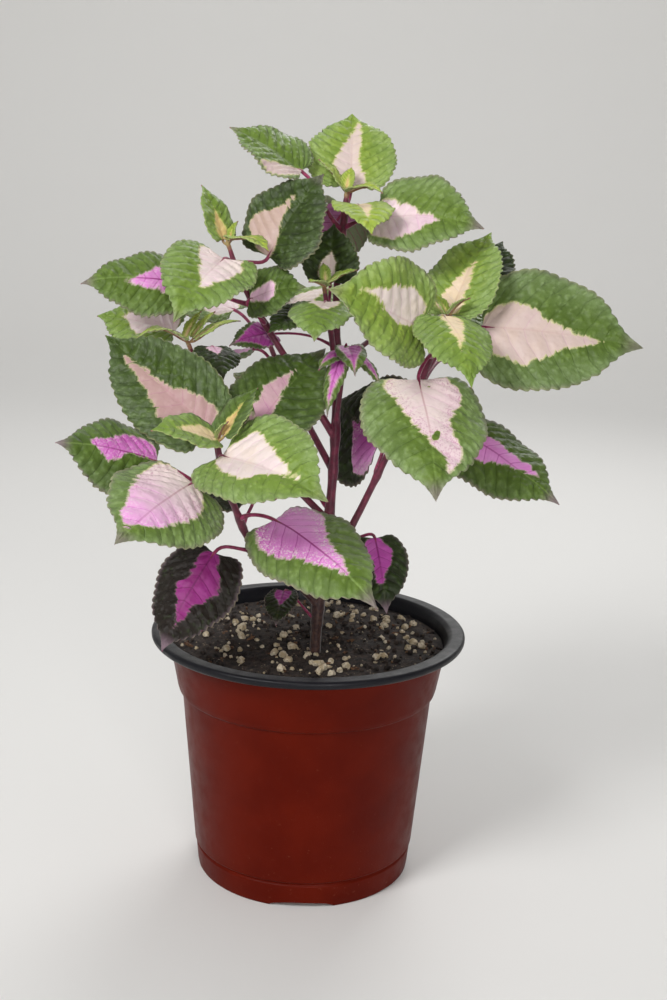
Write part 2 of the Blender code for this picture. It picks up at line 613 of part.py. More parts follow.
def petiole(bm, blade, ring, end, leaves, seat, segments):
    """Carry the blade's open ring down to its seat on the stem and close it there.

    end is the middle of the seat, leaves the way the petiole grows out of it, and seat the seat's normal.
    """
    start = blade.base - blade.normal * BLADE_THICKNESS / 2
    span = (end - start).length
    handles = (start - blade.rise() * span * PETIOLE_HANDLE, end + leaves * span * PETIOLE_HANDLE)
    across, normal = blade.across.copy(), blade.normal.copy()
    for step in range(1, segments + 1):
        u = step / segments
        centre = bezier(start, *handles, end, u)
        onward = bezier(start, *handles, end, min(u + CURVE_STEP, 1))
        ahead = (onward - bezier(start, *handles, end, u - CURVE_STEP)).normalized()
        across = (across - ahead * across.dot(ahead)).normalized()
        normal = (across.cross(ahead)).normalized()
        fresh = []
        for angle in PETIOLE_ANGLES:
            turn = math.radians(angle)
            spoke = across * math.cos(turn) + normal * math.sin(turn)
            place = centre + spoke * PETIOLE_RADIUS
            if step == segments:
                place -= leaves * (place - end).dot(seat) / leaves.dot(seat)
            fresh.append(bm.verts.new(place))
        for index in range(len(ring)):
            after = (index + 1) % len(ring)
            bm.faces.new((ring[after], ring[index], fresh[index], fresh[after]))
        ring = fresh
    bm.faces.new(list(reversed(ring)))


def build_leaf(leaf):
    stem = next(stem for stem in STEMS if stem.name == leaf.stem)
    centre, ahead, radius = stem_place(stem, leaf.joins_at)
    blade = Blade(leaf.base, leaf.tip, leaf.width, leaf.roll, leaf.arch, leaf.fold)
    out = blade.base - centre
    out = (out - ahead * out.dot(ahead)).normalized()
    teeth, rows, segments = LARGE_LEAF if blade.length > LARGE_FROM else SMALL_LEAF
    bm = bmesh.new()
    ring = blade_solid(bm, blade, teeth, rows)
    upwards = (out + ahead * PETIOLE_UPWARD).normalized()
    petiole(bm, blade, ring, centre + out * (radius + GAP), upwards, out, segments)
    object_from(bm, leaf.name, material(leaf.name, COLOURS[leaf.kind]))


def build_tip(name, stem_name, blades):
    """The small leaves at the end of a shoot, joined on a short stalk that stands on the stem's end."""
    stem = next(stem for stem in STEMS if stem.name == stem_name)
    top = Vector(stem.points[-1])
    ahead = (top - Vector(stem.points[-2])).normalized()
    start = top + ahead * GAP
    finish = top + ahead * STALK_HEIGHT
    radius = stem.radii[1]
    radii = [radius, radius * STALK_SWELL, radius * STALK_TAPER]
    stalk = tube(name, [start, (start + finish) / 2, finish], radii, STALK_SIDES)
    stalk.data.materials.clear()
    stalk.data.materials.append(material(name, COLOURS["young"]))
    parts = []
    for index, (base, tip, width, roll, arch, fold) in enumerate(blades):
        blade = Blade(base, tip, width, roll, arch, fold)
        teeth, rows, segments = TIP_LEAF if blade.length > TIP_LARGE_FROM else TINY_LEAF
        bm = bmesh.new()
        ring = blade_solid(bm, blade, teeth, rows)
        inside = start.lerp(finish, FIRST_LEAF_AT + NEXT_LEAF_AFTER * index)
        out = (blade.base - inside).normalized()
        petiole(bm, blade, ring, inside, out, out, segments)
        parts.append(object_from(bm, "small_leaf", None))
    apply_boolean(stalk, "UNION", parts, "MANIFOLD")


def main():
    clear_scene()
    build_pot()
    build_soil()
    build_stems()
    for leaf in LEAVES:
        build_leaf(leaf)
    for name, (stem_name, blades) in TIPS.items():
        build_tip(name, stem_name, blades)


main()
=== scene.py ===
import math
import random
from typing import NamedTuple

import bmesh
import bpy
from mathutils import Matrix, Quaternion, Vector, noise


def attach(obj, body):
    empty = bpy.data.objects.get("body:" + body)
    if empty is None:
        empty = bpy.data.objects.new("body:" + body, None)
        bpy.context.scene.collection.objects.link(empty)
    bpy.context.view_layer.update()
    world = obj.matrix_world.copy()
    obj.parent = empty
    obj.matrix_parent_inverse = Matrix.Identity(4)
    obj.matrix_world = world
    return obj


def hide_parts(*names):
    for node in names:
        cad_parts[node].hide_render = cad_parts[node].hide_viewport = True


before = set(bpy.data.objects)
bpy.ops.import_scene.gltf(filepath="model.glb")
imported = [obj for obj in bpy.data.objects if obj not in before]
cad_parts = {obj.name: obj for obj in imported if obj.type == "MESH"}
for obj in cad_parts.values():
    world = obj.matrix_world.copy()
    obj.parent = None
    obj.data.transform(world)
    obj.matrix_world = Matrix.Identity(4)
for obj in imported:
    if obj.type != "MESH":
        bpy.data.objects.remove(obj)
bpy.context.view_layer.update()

MM = 0.001
UP = Vector((0, 0, 1))
ORIGIN = (0, 0, 0)

# Leaf blades: a rounded base, the widest place at about a third, and a drawn-out tip.
BLADE_THICKNESS = 0.8
LEAF_SKIN = 0.45
OVATE_RISE = 0.5
OVATE_FALL = 1.0
OVATE_PEAK = 0.385
TIP_NARROWING = 0.48
LOBE_REACH = 0.10
LOBE_PLACE = 0.08
ARCH_SKEW = 0.25
MARGIN_CURL = 0.10
WAVE_COUNT = 2.3
WAVE_DEPTH = 0.07
PETIOLE_RADIUS = 0.9

# Side veins leave the midrib and lean forward by this share of the blade's length at the margin.
VEIN_LEAN = 0.36
VEIN_BEND = 0.3

# Quilting: pillows per millimetre along and across the blade, and the depths of its parts as shares.
PILLOWS_ALONG = 0.40
PILLOWS_ACROSS = 0.30
PILLOW_SHARE = 0.42
GROOVE_SHARE = 0.45
SWAY = 0.02

# Teeth: how much their depths vary, how far they lean and curl, and how evenly the blade's rows are spaced.
TOOTH_VARIETY = (0.7, 1.25)
TOOTH_SWEEP = 0.4
TOOTH_CURL = 0.35
EVEN_SPACING = 0.35

# Petioles bend by this share of their length at both ends, and run on as a keel under the blade.
PETIOLE_PULL = 0.4
PETIOLE_SIDES = 8
PETIOLE_WAIST = 0.80
PETIOLE_SEAT = 1.25
TIP_PETIOLE_SEAT = 0.7
KEEL_RADIUS = 0.74
KEEL_TAPER = 0.56
KEEL_REACH = 0.9

# Stems: squarish, drawn with this many rings between two points, and swollen at their joints.
STEM_SIDES = 16
STEM_RIBS = 0.07
STEM_RINGS = 8
SWELLING = 0.28
SWELL_LENGTH = 2.2
JOINED_WITHIN = 3.0


class Stem(NamedTuple):
    """A stem through given points, thinning from its first radius to its last."""
    radii: tuple
    points: list


class Look(NamedTuple):
    """Colouring of one leaf.

    blush goes from 0, orange-cream, over white-pink at 0.5, to 1, magenta. shade goes from 0, yellow-green,
    to 1, almost black: partly the leaf's age and tone, partly painted shade on leaves that lie in shadow.
    purple is how much the tip and the margin have turned. patch lists places along the blade, each with the
    two places across it that the pale patch lies between. drift is how the blush changes from base to tip and
    from midrib to margin. freckles is how speckled the patch is. dabs are spots (along, across, size and
    depth in mm) that widen the patch, or break it where the depth is negative.
    The last field is painted shade: how far a patch that lies in shadow is darkened towards a dusky rose.
    """
    blush: float
    shade: float
    purple: float
    patch: tuple
    drift: tuple = (0.0, 0.0)
    freckles: float = 0.0
    dabs: tuple = ()
    dusk: float = 0.0


class Leaf(NamedTuple):
    """One leaf: where its petiole leaves the stem, the ends and the bending of its blade, and its look."""
    stem: str
    joins_at: float
    base: tuple
    tip: tuple
    width: float
    roll: float
    arch: float
    fold: float
    kind: str
    look: Look


class Fineness(NamedTuple):
    """How finely a blade is drawn."""
    teeth: int
    rows_per_tooth: int
    columns: int
    tooth_depth: float
    quilting: float
    veins: int


def tapered(reach, spread, slant=0.0):
    """A patch that is widest near the base and runs to a point at reach, and leans to one side by slant."""
    widths = ((0.0, 0.8), (0.12, 1.0), (0.30, 0.88), (0.50, 0.60), (0.75, 0.28), (1.0, 0.0))
    return tuple((reach * share, slant * share - spread * width, slant * share + spread * width)
                 for share, width in widths)


def outline(*hundredths):
    """A patch from a row of hundredths: each place along the blade, then the two places across it."""
    shares = [number / 100 for number in hundredths]
    return tuple(zip(shares[::3], shares[1::3], shares[2::3]))


LARGE_LEAF = Fineness(23, 4, 32, 0.80, 0.75, 8)
SMALL_LEAF = Fineness(17, 4, 20, 0.60, 0.50, 7)
YOUNG_LEAF = Fineness(12, 4, 14, 0.45, 0.30, 6)
LARGE_FROM = 34.0

STEMS = {
    "main": Stem((2.4, 1.1), [(3, -20, 84), (3, -20, 107), (4, -19, 130), (7, -15, 160), (9, -9, 195),
                              (9, -3, 230), (8, 2, 262), (10, 7, 288), (11, 9, 300)]),
    "right": Stem((1.7, 1.0), [(4, -19, 128), (10, -19, 146), (17, -18, 163), (22, -18, 174),
                               (33, -20, 200), (43, -21, 225), (50, -22, 245), (53, -22, 252)]),
    "left_front": Stem((1.7, 1.0), [(4, -19, 128), (-9, -25, 143), (-24, -36, 159), (-31, -44, 176),
                                    (-36, -48, 192), (-38, -50, 203)]),
    "upper_left": Stem((1.6, 0.9), [(9, -8, 200), (-5, -8, 222), (-20, -8, 245), (-32, -7, 265),
                                    (-37, -6, 278)]),
    "left_back": Stem((1.5, 0.9), [(7, -14, 165), (-12, -6, 182), (-32, -1, 203), (-48, 2, 222),
                                   (-54, 3, 235)]),
    "centre": Stem((1.3, 0.9), [(9, -4, 225), (6, -9, 245), (3, -12, 262)]),
    "middle": Stem((1.1, 0.8), [(9, -8, 205), (11, -14, 225), (12, -19, 238)]),
    "back_left": Stem((1.5, 0.9), [(9, -10, 185), (-4, 8, 205), (-18, 28, 228), (-26, 40, 246)]),
    "back_right": Stem((1.3, 0.9), [(9, -4, 225), (17, 8, 235), (28, 23, 242), (37, 36, 250)]),
}

# The leaves of each group, numbered from 1. A row holds the stem, the height on it where the petiole joins,
# the blade's base and tip, its width, roll, arch and fold, the kind of leaf and its look.
LEAVES = {
    "top": [
        Leaf("main", 296, (13, 17, 305), (13, 44, 336), 39, 0, 0.06, 10, "mature",
             Look(0.42, 0.26, 0.0, outline(2, -60, 36, 12, -36, 36, 25, -16, 40, 40, -17, 28, 55, -25, 11,
             70, -32, -2, 82, -46, -40), dusk=0.3)),
        Leaf("main", 294, (16, 2, 298), (21, -26, 287), 26, 0, 0.12, 8, "young",
             Look(0.26, 0.12, 0.0, outline(0, -30, 50, 10, -12, 38, 30, -10, 28, 50, -10, 18, 64, 0, 3))),
        Leaf("main", 288, (25, 5, 293), (68, -10, 290), 40, 50, 0.1, 12, "mature",
             Look(0.46, 0.44, 0.8, outline(0, -90, 90, 10, -78, 50, 20, -78, 30, 30, -68, 17, 40, -52, 8,
             50, -27, 2, 58, -15, -8), drift=(0.2, 0.0))),
        Leaf("main", 287, (-8, 9, 311), (-39, 14, 328), 32, -28, 0.05, 8, "mature",
             Look(0.46, 0.46, 0.6, outline(0, -12, 70, 10, 20, 80, 20, 40, 95, 30, 55, 95, 42, 80, 85),
             dusk=0.5)),
        Leaf("main", 284, (11, 17, 296), (-5, 26, 271), 32, 50, 0.05, -5, "shaded",
             Look(0.8, 0.5, 0.3, tapered(0.6, 0.6, 0.2))),
    ],
    "centre": [
        Leaf("centre", 255, (5, -4, 266), (6, -1, 290), 25, 0, 0.05, 8, "mature",
             Look(0.44, 0.84, 0.0, outline(0, -35, 50, 10, -25, 48, 20, -18, 42, 30, -20, 35, 40, -15, 22,
             50, -3, 6))),
        Leaf("centre", 256, (3, -18, 259), (-1, -48, 246), 27, 0, 0.12, -5, "mature",
             Look(0.4, 0.4, 0.2, outline(0, -100, 100, 10, -60, 60, 20, -28, 36, 30, -12, 28, 38, 3, 14))),
        Leaf("centre", 248, (-2, -13, 254), (-20, -26, 246), 20, -15, 0.1, 5, "shaded",
             Look(0.38, 0.8, 0.0, tapered(0.5, 0.45))),
    ],
    "right": [
        Leaf("right", 244, (42, -28, 250), (4, -50, 267), 44, -72, 0.08, 20, "mature",
             Look(0.42, 0.26, 0.5, outline(0, -55, 10, 10, -55, 6, 20, -62, 8, 30, -56, 15, 40, -47, 12, 50,
             -38, -8, 60, -31, -20, 72, -28, -26))),
        Leaf("right", 247, (55, -17, 255), (73, 6, 288), 34, 5, 0.06, 10, "mature",
             Look(0.28, 0.3, 0.0, outline(0, -40, 55, 10, -33, 58, 20, -24, 38, 32, -20, 25, 44, -17, 10,
             56, -10, -6))),
        Leaf("right", 249, (51, -31, 256), (60, -66, 232), 31, 0, 0.14, -10, "young",
             Look(0.24, 0.34, 0.0, outline(0, -20, 50, 12, -13, 50, 20, -10, 40, 30, -12, 28, 45, -11, 12,
             62, -13, -8))),
        Leaf("right", 240, (69, -14, 250), (135, -22, 244), 54, 60, 0.06, 6, "mature",
             Look(0.43, 0.56, 0.5, outline(0, -40, 50, 10, -55, 47, 20, -54, 45, 30, -57, 35, 40, -45, 20,
             50, -32, 10, 60, -24, 2, 73, -10, -7), dusk=0.55)),
        Leaf("right", 230, (62, 4, 255), (82, 36, 283), 34, 0, 0.05, 8, "shaded",
             Look(0.5, 0.85, 0.0, tapered(0.5, 0.4))),
        Leaf("right", 238, (42, -33, 230), (48, -70, 188), 52, 0, 0.1, -6, "mature",
             Look(0.47, 0.48, 0.7, outline(0, -100, 100, 5, -90, 82, 10, -75, 72, 20, -46, 70, 30, -35, 48,
             40, -25, 36, 50, -14, 36, 60, 0, 55, 70, 30, 74, 78, 52, 66), drift=(0.06, 0.04), freckles=0.5,
             dabs=((0.54, 0.1, 1.5, -9.0), (0.505, 0.13, 1.5, -9.0), (0.07, 0.22, 1.2, -12.0)))),
        Leaf("right", 200, (62, -14, 206), (103, -32, 179), 40, 28, 0.05, -8, "shaded",
             Look(0.75, 0.6, 0.9, outline(0, -50, 40, 20, -42, 36, 30, -40, 30, 40, -18, 30, 50, -8, 30, 60,
             5, 38, 74, 28, 34))),
        Leaf("right", 186, (28, -11, 200), (10, 24, 211), 54, -62, 0.08, -10, "shaded",
             Look(0.9, 0.9, 0.5, outline(0, -30, 100, 10, -30, 85, 20, -20, 75, 30, -5, 42, 40, 0, 16, 52,
             2, 5), drift=(0.0, -0.25), freckles=0.6)),
    ],
    "left_front": [
        Leaf("left_front", 197, (-43, -42, 209), (-88, -14, 242), 40, -48, 0.05, 5, "mature",
             Look(0.49, 0.72, 0.0, outline(0, -62, 40, 10, -57, 42, 20, -38, 50, 30, -20, 50, 40, -6, 36,
             50, 0, 29, 60, 2, 27, 70, 9, 22, 77, 15, 17), dusk=1.0)),
        Leaf("left_front", 190, (-26, -38, 206), (4, -5, 238), 41, 26, 0.05, 8, "shaded",
             Look(0.58, 0.68, 0.4, outline(0, -20, 33, 10, -12, 28, 20, -14, 27, 30, -7, 33, 40, 0, 38, 50,
             3, 33, 64, 15, 19), dusk=0.7)),
        Leaf("left_front", 196, (-36, -56, 201), (6, -92, 192), 46, 33, 0.08, 14, "mature",
             Look(0.44, 0.34, 0.3, outline(0, -35, 40, 10, -40, 50, 20, -44, 62, 30, -47, 46, 40, -46, 38,
             50, -18, 26, 60, 0, 20, 73, 9, 11))),
        Leaf("left_front", 184, (-47, -62, 191), (-71, -108, 178), 46, -32, 0.08, -6, "mature",
             Look(0.4, 0.48, 0.7, outline(0, -90, 40, 10, -93, 45, 20, -76, 50, 30, -68, 58, 40, -62, 53,
             50, -60, 45, 60, -57, 44, 72, -56, 30, 82, -48, -12), drift=(0.42, 0.0), freckles=0.5)),
        Leaf("left_front", 182, (-62, -52, 197), (-100, -64, 206), 39, -42, 0.08, -12, "magenta",
             Look(0.84, 0.62, 0.9, outline(0, -60, 10, 10, -62, 0, 30, -60, 2, 40, -47, 20, 50, -30, 33, 58,
             -27, 15, 66, -20, -8), freckles=0.4)),
        Leaf("left_front", 168, (-26, -34, 180), (-46, -16, 176), 26, -30, 0.1, 5, "shaded",
             Look(0.7, 0.93, 0.3, tapered(0.5, 0.4))),
        Leaf("left_front", 172, (-15, -50, 174), (26, -90, 150), 42, 24, 0.1, -10, "magenta",
             Look(0.77, 0.5, 0.9, outline(0, -95, 100, 10, -74, 100, 20, -70, 88, 30, -60, 56, 40, -42, 34,
             50, -32, 24, 60, -18, 18, 72, -2, 3), drift=(-0.04, -0.06), freckles=1.0)),
        Leaf("left_front", 157, (-40, -38, 156), (-60, -54, 118), 36, -32, 0.1, -10, "magenta",
             Look(0.97, 1.0, 1.0, outline(0, -50, 40, 10, -38, 30, 20, -25, 48, 30, -20, 58, 40, -38, 48,
             50, -27, 30, 60, -7, 23, 74, 10, 15))),
    ],
    "upper_left": [
        Leaf("upper_left", 271, (-21, -10, 276), (1, -3, 310), 40, 38, 0.06, 10, "mature",
             Look(0.42, 0.78, 0.4, outline(0, -20, 50, 10, -5, 60, 20, 0, 84, 30, 8, 80, 40, 14, 50, 50, 14,
             36, 64, 25, 31), dusk=0.8)),
        Leaf("upper_left", 272, (-39, -14, 275), (-56, -50, 252), 38, -22, 0.1, 12, "mature",
             Look(0.46, 0.38, 0.3, outline(0, -100, 90, 10, -72, 64, 20, -42, 65, 30, -25, 54, 40, -12, 44,
             50, 0, 33, 57, 10, 24))),
        Leaf("upper_left", 256, (-56, 2, 263), (-100, -2, 262), 34, -46, 0.1, -8, "shaded",
             Look(0.8, 0.52, 0.8, outline(0, -60, 40, 10, -65, 40, 20, -62, 40, 30, -42, 28, 40, -15, 25,
             54, 6, 16), drift=(-0.1, 0.0), freckles=0.4)),
        Leaf("upper_left", 248, (-28, -15, 259), (-5, -21, 265), 26, 48, 0.08, 8, "shaded",
             Look(0.6, 0.62, 0.3, outline(0, -35, 43, 10, -27, 28, 20, -28, 30, 30, -38, 35, 40, -42, 43,
             47, -28, 28))),
    ],
    "left_back": [
        Leaf("left_back", 228, (-62, 15, 241), (-97, 22, 246), 36, -30, 0.05, 6, "mature",
             Look(0.47, 0.34, 0.0, outline(0, -70, 20, 10, -75, 10, 20, -72, 15, 30, -62, 38, 40, -47, 56,
             50, -34, 36, 63, -28, -6))),
        Leaf("left_back", 228, (-44, -1, 237), (-38, -22, 226), 20, 0, 0.12, -5, "shaded",
             Look(0.6, 0.88, 0.0, tapered(0.4, 0.5))),
        Leaf("main", 238, (-18, 2, 243), (-37, -6, 238), 15, -40, 0.1, 5, "magenta",
             Look(0.9, 0.7, 0.8, tapered(1.0, 1.1))),
    ],
    "low": [
        Leaf("right", 157, (27, -26, 161), (32, -46, 134), 25, 10, 0.12, -8, "magenta",
             Look(0.88, 0.88, 0.9, outline(0, -50, 40, 10, -48, 40, 20, -35, 50, 30, -30, 45, 40, -25, 33,
             50, -25, 20, 63, -22, 2))),
        Leaf("main", 122, (-11, -18, 134), (-14, -36, 124), 14, 0, 0.1, 5, "shaded",
             Look(0.94, 0.9, 0.6, tapered(0.5, 0.7))),
    ],
    "back_left": [
        Leaf("back_left", 240, (-38, 48, 248), (-82, 72, 252), 40, -10, 0.08, -6, "mature",
             Look(0.48, 0.44, 0.4, tapered(0.7, 0.6, 0.12))),
        Leaf("back_left", 240, (-14, 46, 250), (14, 76, 258), 38, 0, 0.08, -6, "mature",
             Look(0.42, 0.36, 0.0, tapered(0.66, 0.52, -0.14))),
        Leaf("back_left", 222, (-28, 20, 234), (-56, 26, 222), 30, 0, 0.1, -6, "shaded",
             Look(0.68, 0.7, 0.4, tapered(0.6, 0.56, 0.1), drift=(0.1, 0.0), freckles=0.3)),
        Leaf("back_left", 222, (-12, 44, 222), (-26, 92, 206), 44, 0, 0.1, -8, "mature",
             Look(0.5, 0.5, 0.6, tapered(0.76, 0.66, 0.16), drift=(0.2, 0.0), freckles=0.3)),
    ],
    "back_right": [
        Leaf("back_right", 246, (49, 43, 246), (88, 68, 246), 42, 10, 0.08, -6, "mature",
             Look(0.45, 0.42, 0.3, tapered(0.7, 0.62, -0.1))),
        Leaf("back_right", 244, (28, 46, 250), (4, 86, 240), 38, 0, 0.08, -6, "mature",
             Look(0.4, 0.32, 0.0, tapered(0.62, 0.55, 0.12))),
        Leaf("right", 226, (60, 8, 236), (96, 36, 232), 36, 0, 0.1, -8, "shaded",
             Look(0.64, 0.66, 0.6, tapered(0.7, 0.55, 0.14), drift=(0.0, 0.1), freckles=0.4)),
        Leaf("right", 204, (45, 10, 210), (62, 48, 197), 42, 0, 0.1, -8, "magenta",
             Look(0.8, 0.6, 0.9, tapered(0.76, 0.8, -0.12), drift=(-0.1, 0.0), freckles=0.7)),
    ],
    "back_low": [
        Leaf("main", 170, (-8, 4, 184), (-44, 44, 176), 40, 0, 0.1, -8, "magenta",
             Look(0.84, 0.72, 0.9, tapered(0.78, 0.74, 0.14), drift=(0.0, 0.05), freckles=0.6)),
        Leaf("main", 138, (10, 4, 150), (22, 43, 138), 32, 0, 0.1, -8, "magenta",
             Look(0.92, 0.86, 1.0, tapered(0.76, 0.64, -0.1), freckles=0.3)),
        Leaf("main", 134, (-6, 2, 146), (-24, 42, 134), 33, 0, 0.1, -8, "shaded",
             Look(0.78, 0.8, 0.7, tapered(0.66, 0.58, 0.1))),
    ],
}

# Shoot tips: the stem that each ends, its blades' rows like those of the leaves, and their looks.
# The last look is used for the blades that are left.
TIPS = {
    "top": ("main", [
        ((11, 11, 303), (-1, 15, 316), 12, 0, 0.05, 14),
        ((12, 9, 303), (26, -1, 303), 9, 10, 0.15, 18),
        ((11, 10, 304), (13, 17, 313), 6, 0, 0.1, 18),
    ], [
        Look(0.12, 0.06, 0.0, tapered(0.3, 0.22)),
        Look(0.1, 0.06, 0.0, tapered(0.55, 0.34)),
    ]),
    "centre": ("centre", [
        ((4, -13, 266), (16, -14, 272), 9, 10, 0.08, 14),
        ((3, -13, 265), (-4, -20, 267), 8, 0, 0.1, 14),
        ((3, -12, 267), (2, -8, 274), 5, 0, 0.1, 18),
    ], [
        Look(0.18, 0.2, 0.0, tapered(0.44, 0.34)),
    ]),
    "right": ("right", [
        ((53, -23, 256), (46, -18, 264), 7, 0, 0.1, 16),
        ((54, -22, 256), (62, -26, 263), 7, 0, 0.1, 16),
    ], [
        Look(0.16, 0.12, 0.0, tapered(0.4, 0.3)),
    ]),
    "left_front": ("left_front", [
        ((-39, -51, 207), (-63, -65, 212), 21, -28, 0.08, 10),
        ((-36, -51, 208), (-23, -40, 226), 18, 0, 0.06, 10),
        ((-38, -50, 207), (-34, -52, 214), 6, 0, 0.1, 16),
    ], [
        Look(0.22, 0.34, 0.0, tapered(0.66, 0.44, -0.1)),
        Look(0.05, 0.6, 0.0, tapered(0.62, 0.36)),
        Look(0.06, 0.12, 0.0, tapered(0.6, 0.4)),
    ]),
    "upper_left": ("upper_left", [
        ((-40, -4, 282), (-50, 5, 304), 16, 0, 0.06, 10),
        ((-36, -9, 283), (-20, -27, 279), 13, 0, 0.12, 8),
        ((-37, -6, 282), (-34, -4, 290), 6, 0, 0.1, 16),
    ], [
        Look(0.1, 0.34, 0.0, tapered(0.52, 0.46)),
        Look(0.14, 0.06, 0.0, tapered(0.6, 0.36)),
        Look(0.06, 0.12, 0.0, tapered(0.5, 0.4)),
    ]),
    "left_back": ("left_back", [
        ((-56, 1, 239), (-76, -6, 240), 13, 0, 0.22, 8),
        ((-56, 3, 240), (-50, 8, 251), 7, 0, 0.05, 18),
        ((-53, 4, 240), (-44, 9, 251), 7, 0, 0.05, 18),
        ((-52, 4, 239), (-33, 10, 247), 11, 0, 0.1, 10),
    ], [
        Look(0.2, 0.08, 0.0, tapered(0.62, 0.46)),
    ]),
    "middle": ("middle", [
        ((13, -20, 241), (16, -36, 231), 13, 0, 0.14, 8),
        ((14, -20, 241), (27, -30, 225), 9, 0, 0.1, -8),
        ((11, -20, 240), (1, -29, 232), 11, 0, 0.1, -8),
        ((11, -21, 239), (5, -37, 214), 9, 0, 0.1, -8),
    ], [
        Look(0.84, 0.55, 0.8, tapered(0.9, 0.8)),
    ]),
    "back_left": ("back_left", [
        ((-27, 41, 250), (-37, 36, 263), 14, 0, 0.06, 10),
        ((-26, 42, 250), (-16, 52, 262), 14, 0, 0.06, 10),
        ((-26, 41, 251), (-24, 40, 260), 6, 0, 0.1, 16),
    ], [
        Look(0.18, 0.14, 0.0, tapered(0.54, 0.4)),
        Look(0.12, 0.1, 0.0, tapered(0.5, 0.34)),
    ]),
    "back_right": ("back_right", [
        ((38, 36, 254), (30, 28, 266), 14, 0, 0.06, 10),
        ((40, 39, 254), (52, 50, 265), 14, 0, 0.06, 10),
        ((40, 38, 255), (42, 37, 263), 6, 0, 0.1, 16),
    ], [
        Look(0.14, 0.14, 0.0, tapered(0.54, 0.38)),
        Look(0.2, 0.1, 0.0, tapered(0.5, 0.4)),
    ]),
}


def smooth(low, high, x):
    """0 below low, 1 above high and an S-curve between them."""
    x = min(max((x - low) / (high - low), 0.0), 1.0)
    return x * x * (3 - 2 * x)


def curve_point(points, place):
    """Point of the smooth curve through the points; place runs from 0 to their count less one."""
    index = min(int(place), len(points) - 2)
    u = place - index
    before = points[max(index - 1, 0)]
    start, end = points[index], points[index + 1]
    after = points[min(index + 2, len(points) - 1)]
    return 0.5 * (2 * start + (end - before) * u + (2 * before - 5 * start + 4 * end - after) * u ** 2
                  + (3 * start - before - 3 * end + after) * u ** 3)


def stem_place(stem, height):
    """Centre, direction and radius of a stem where it reaches a height."""
    points = [Vector(point) for point in stem.points]
    last = len(points) - 1
    low, high = 0.0, float(last)
    for _ in range(30):
        middle = (low + high) / 2
        if curve_point(points, middle).z < height:
            low = middle
        else:
            high = middle
    centre = curve_point(points, low)
    ahead = curve_point(points, min(low + 0.1, last)) - curve_point(points, max(low - 0.1, 0))
    thick, thin = stem.radii
    return centre, ahead.normalized(), thick + (thin - thick) * low / last


def bezier(a, b, c, d, u):
    v = 1 - u
    return a * v ** 3 + b * 3 * v * v * u + c * 3 * v * u * u + d * u ** 3


def vein_place(s, t):
    """Where on the midrib the side vein through this place of the blade starts."""
    lean = VEIN_LEAN * abs(t) * (1 + VEIN_BEND * abs(t)) / (1 + VEIN_BEND)
    return (s - lean) / (1 - lean)


class Blade:
    """The bent, quilted surface of one leaf blade, read by place along it and place across it."""

    def __init__(self, base, tip, width, roll, arch, fold, fine, number):
        self.base, self.width, self.arch, self.fold = Vector(base), width, arch, math.radians(fold)
        self.fine, self.number = fine, number
        reach = Vector(tip) - self.base
        self.length = reach.length
        self.along = reach.normalized()
        self.normal = (UP - self.along * UP.dot(self.along)).normalized()
        self.normal.rotate(Quaternion(self.along, math.radians(roll)))
        self.across = self.normal.cross(self.along)
        self.phase = (self.base.x + 2 * self.base.z) / 17

    def half_width(self, s):
        shape = s ** OVATE_RISE * (1 - s) ** OVATE_FALL / OVATE_PEAK
        shape *= 1 - TIP_NARROWING * smooth(0.72, 0.94, s)
        return max(self.width / 2 * shape, PETIOLE_RADIUS * 0.9 if s < 0.5 else 0)

    def point(self, s, t):
        """s is 0 at the base and 1 at the tip, t is 0 on the midrib and 1 or -1 at the margins."""
        half = self.half_width(s)
        lobe = LOBE_REACH * t * t * (s / LOBE_PLACE) * math.exp(1 - s / LOBE_PLACE)
        lift = self.length * self.arch * 4 * s * (1 - s) * (1 + ARCH_SKEW * (2 * s - 1))
        lift += abs(t) * half * math.tan(self.fold) - t * t * half * MARGIN_CURL
        wave = math.sin(math.tau * WAVE_COUNT * s + self.phase + (2 if t > 0 else 0))
        lift += t * t * half * WAVE_DEPTH * wave + self.relief(s, t, half)
        return (self.base + self.along * self.length * (s - lobe) + self.across * half * t
                + self.normal * lift)

    def relief(self, s, t, half):
        """Height of the quilting: veins sunk, the skin between them raised in small pillows."""
        quilting = self.fine.quilting
        inside = smooth(0, 0.06, s) * (1 - smooth(0.88, 1, s))
        row = vein_place(s, t) * self.fine.veins
        bulge = 1 - abs(2 * (row % 1) - 1) ** 2.2
        spread = smooth(0.02, 0.3, abs(t)) * (1 - 0.85 * smooth(0.7, 1, abs(t)))
        lift = quilting * (bulge - 0.6) * spread
        cell = Vector((s * self.length * PILLOWS_ALONG, t * half * PILLOWS_ACROSS, self.number * 7.3))
        puff = min(abs(noise.noise(cell)) * 3.2, 1) + 0.5 * min(abs(noise.noise(cell * 2.1)) * 3.2, 1)
        lift += quilting * PILLOW_SHARE * (puff - 0.8) * spread
        lift -= quilting * GROOVE_SHARE * (1 - smooth(0, 0.09, abs(t)))
        lift += SWAY * self.width * noise.noise(Vector((s * 3.1, t * 1.7, self.number * 3.7)))
        return lift * inside

    def rise(self):
        """Direction of the midrib where the petiole meets it."""
        slope = self.arch * 4 * (1 - ARCH_SKEW)
        return (self.along + self.normal * slope).normalized()

    def margin_way(self, s):
        """Direction that points straight out of the margin, as shares of across and along."""
        step = 0.01
        low, high = max(s - step, 0), min(s + step, 1)
        slope = (self.half_width(high) - self.half_width(low)) / ((high - low) * self.length)
        size = math.hypot(1, slope)
        return 1 / size, -slope / size


def run_place(share):
    """Place along the blade for a share of its rows, which lie closer towards the base and the tip."""
    return EVEN_SPACING * share + (1 - EVEN_SPACING) * (1 - math.cos(math.pi * share)) / 2


def tooth_shape(u):
    """A rounded tooth that leans forward: 0 in the notches at u = 0 and 1."""
    return math.sin(math.pi * u ** 1.4) ** 0.8 if 0 < u < 1 else 0.0


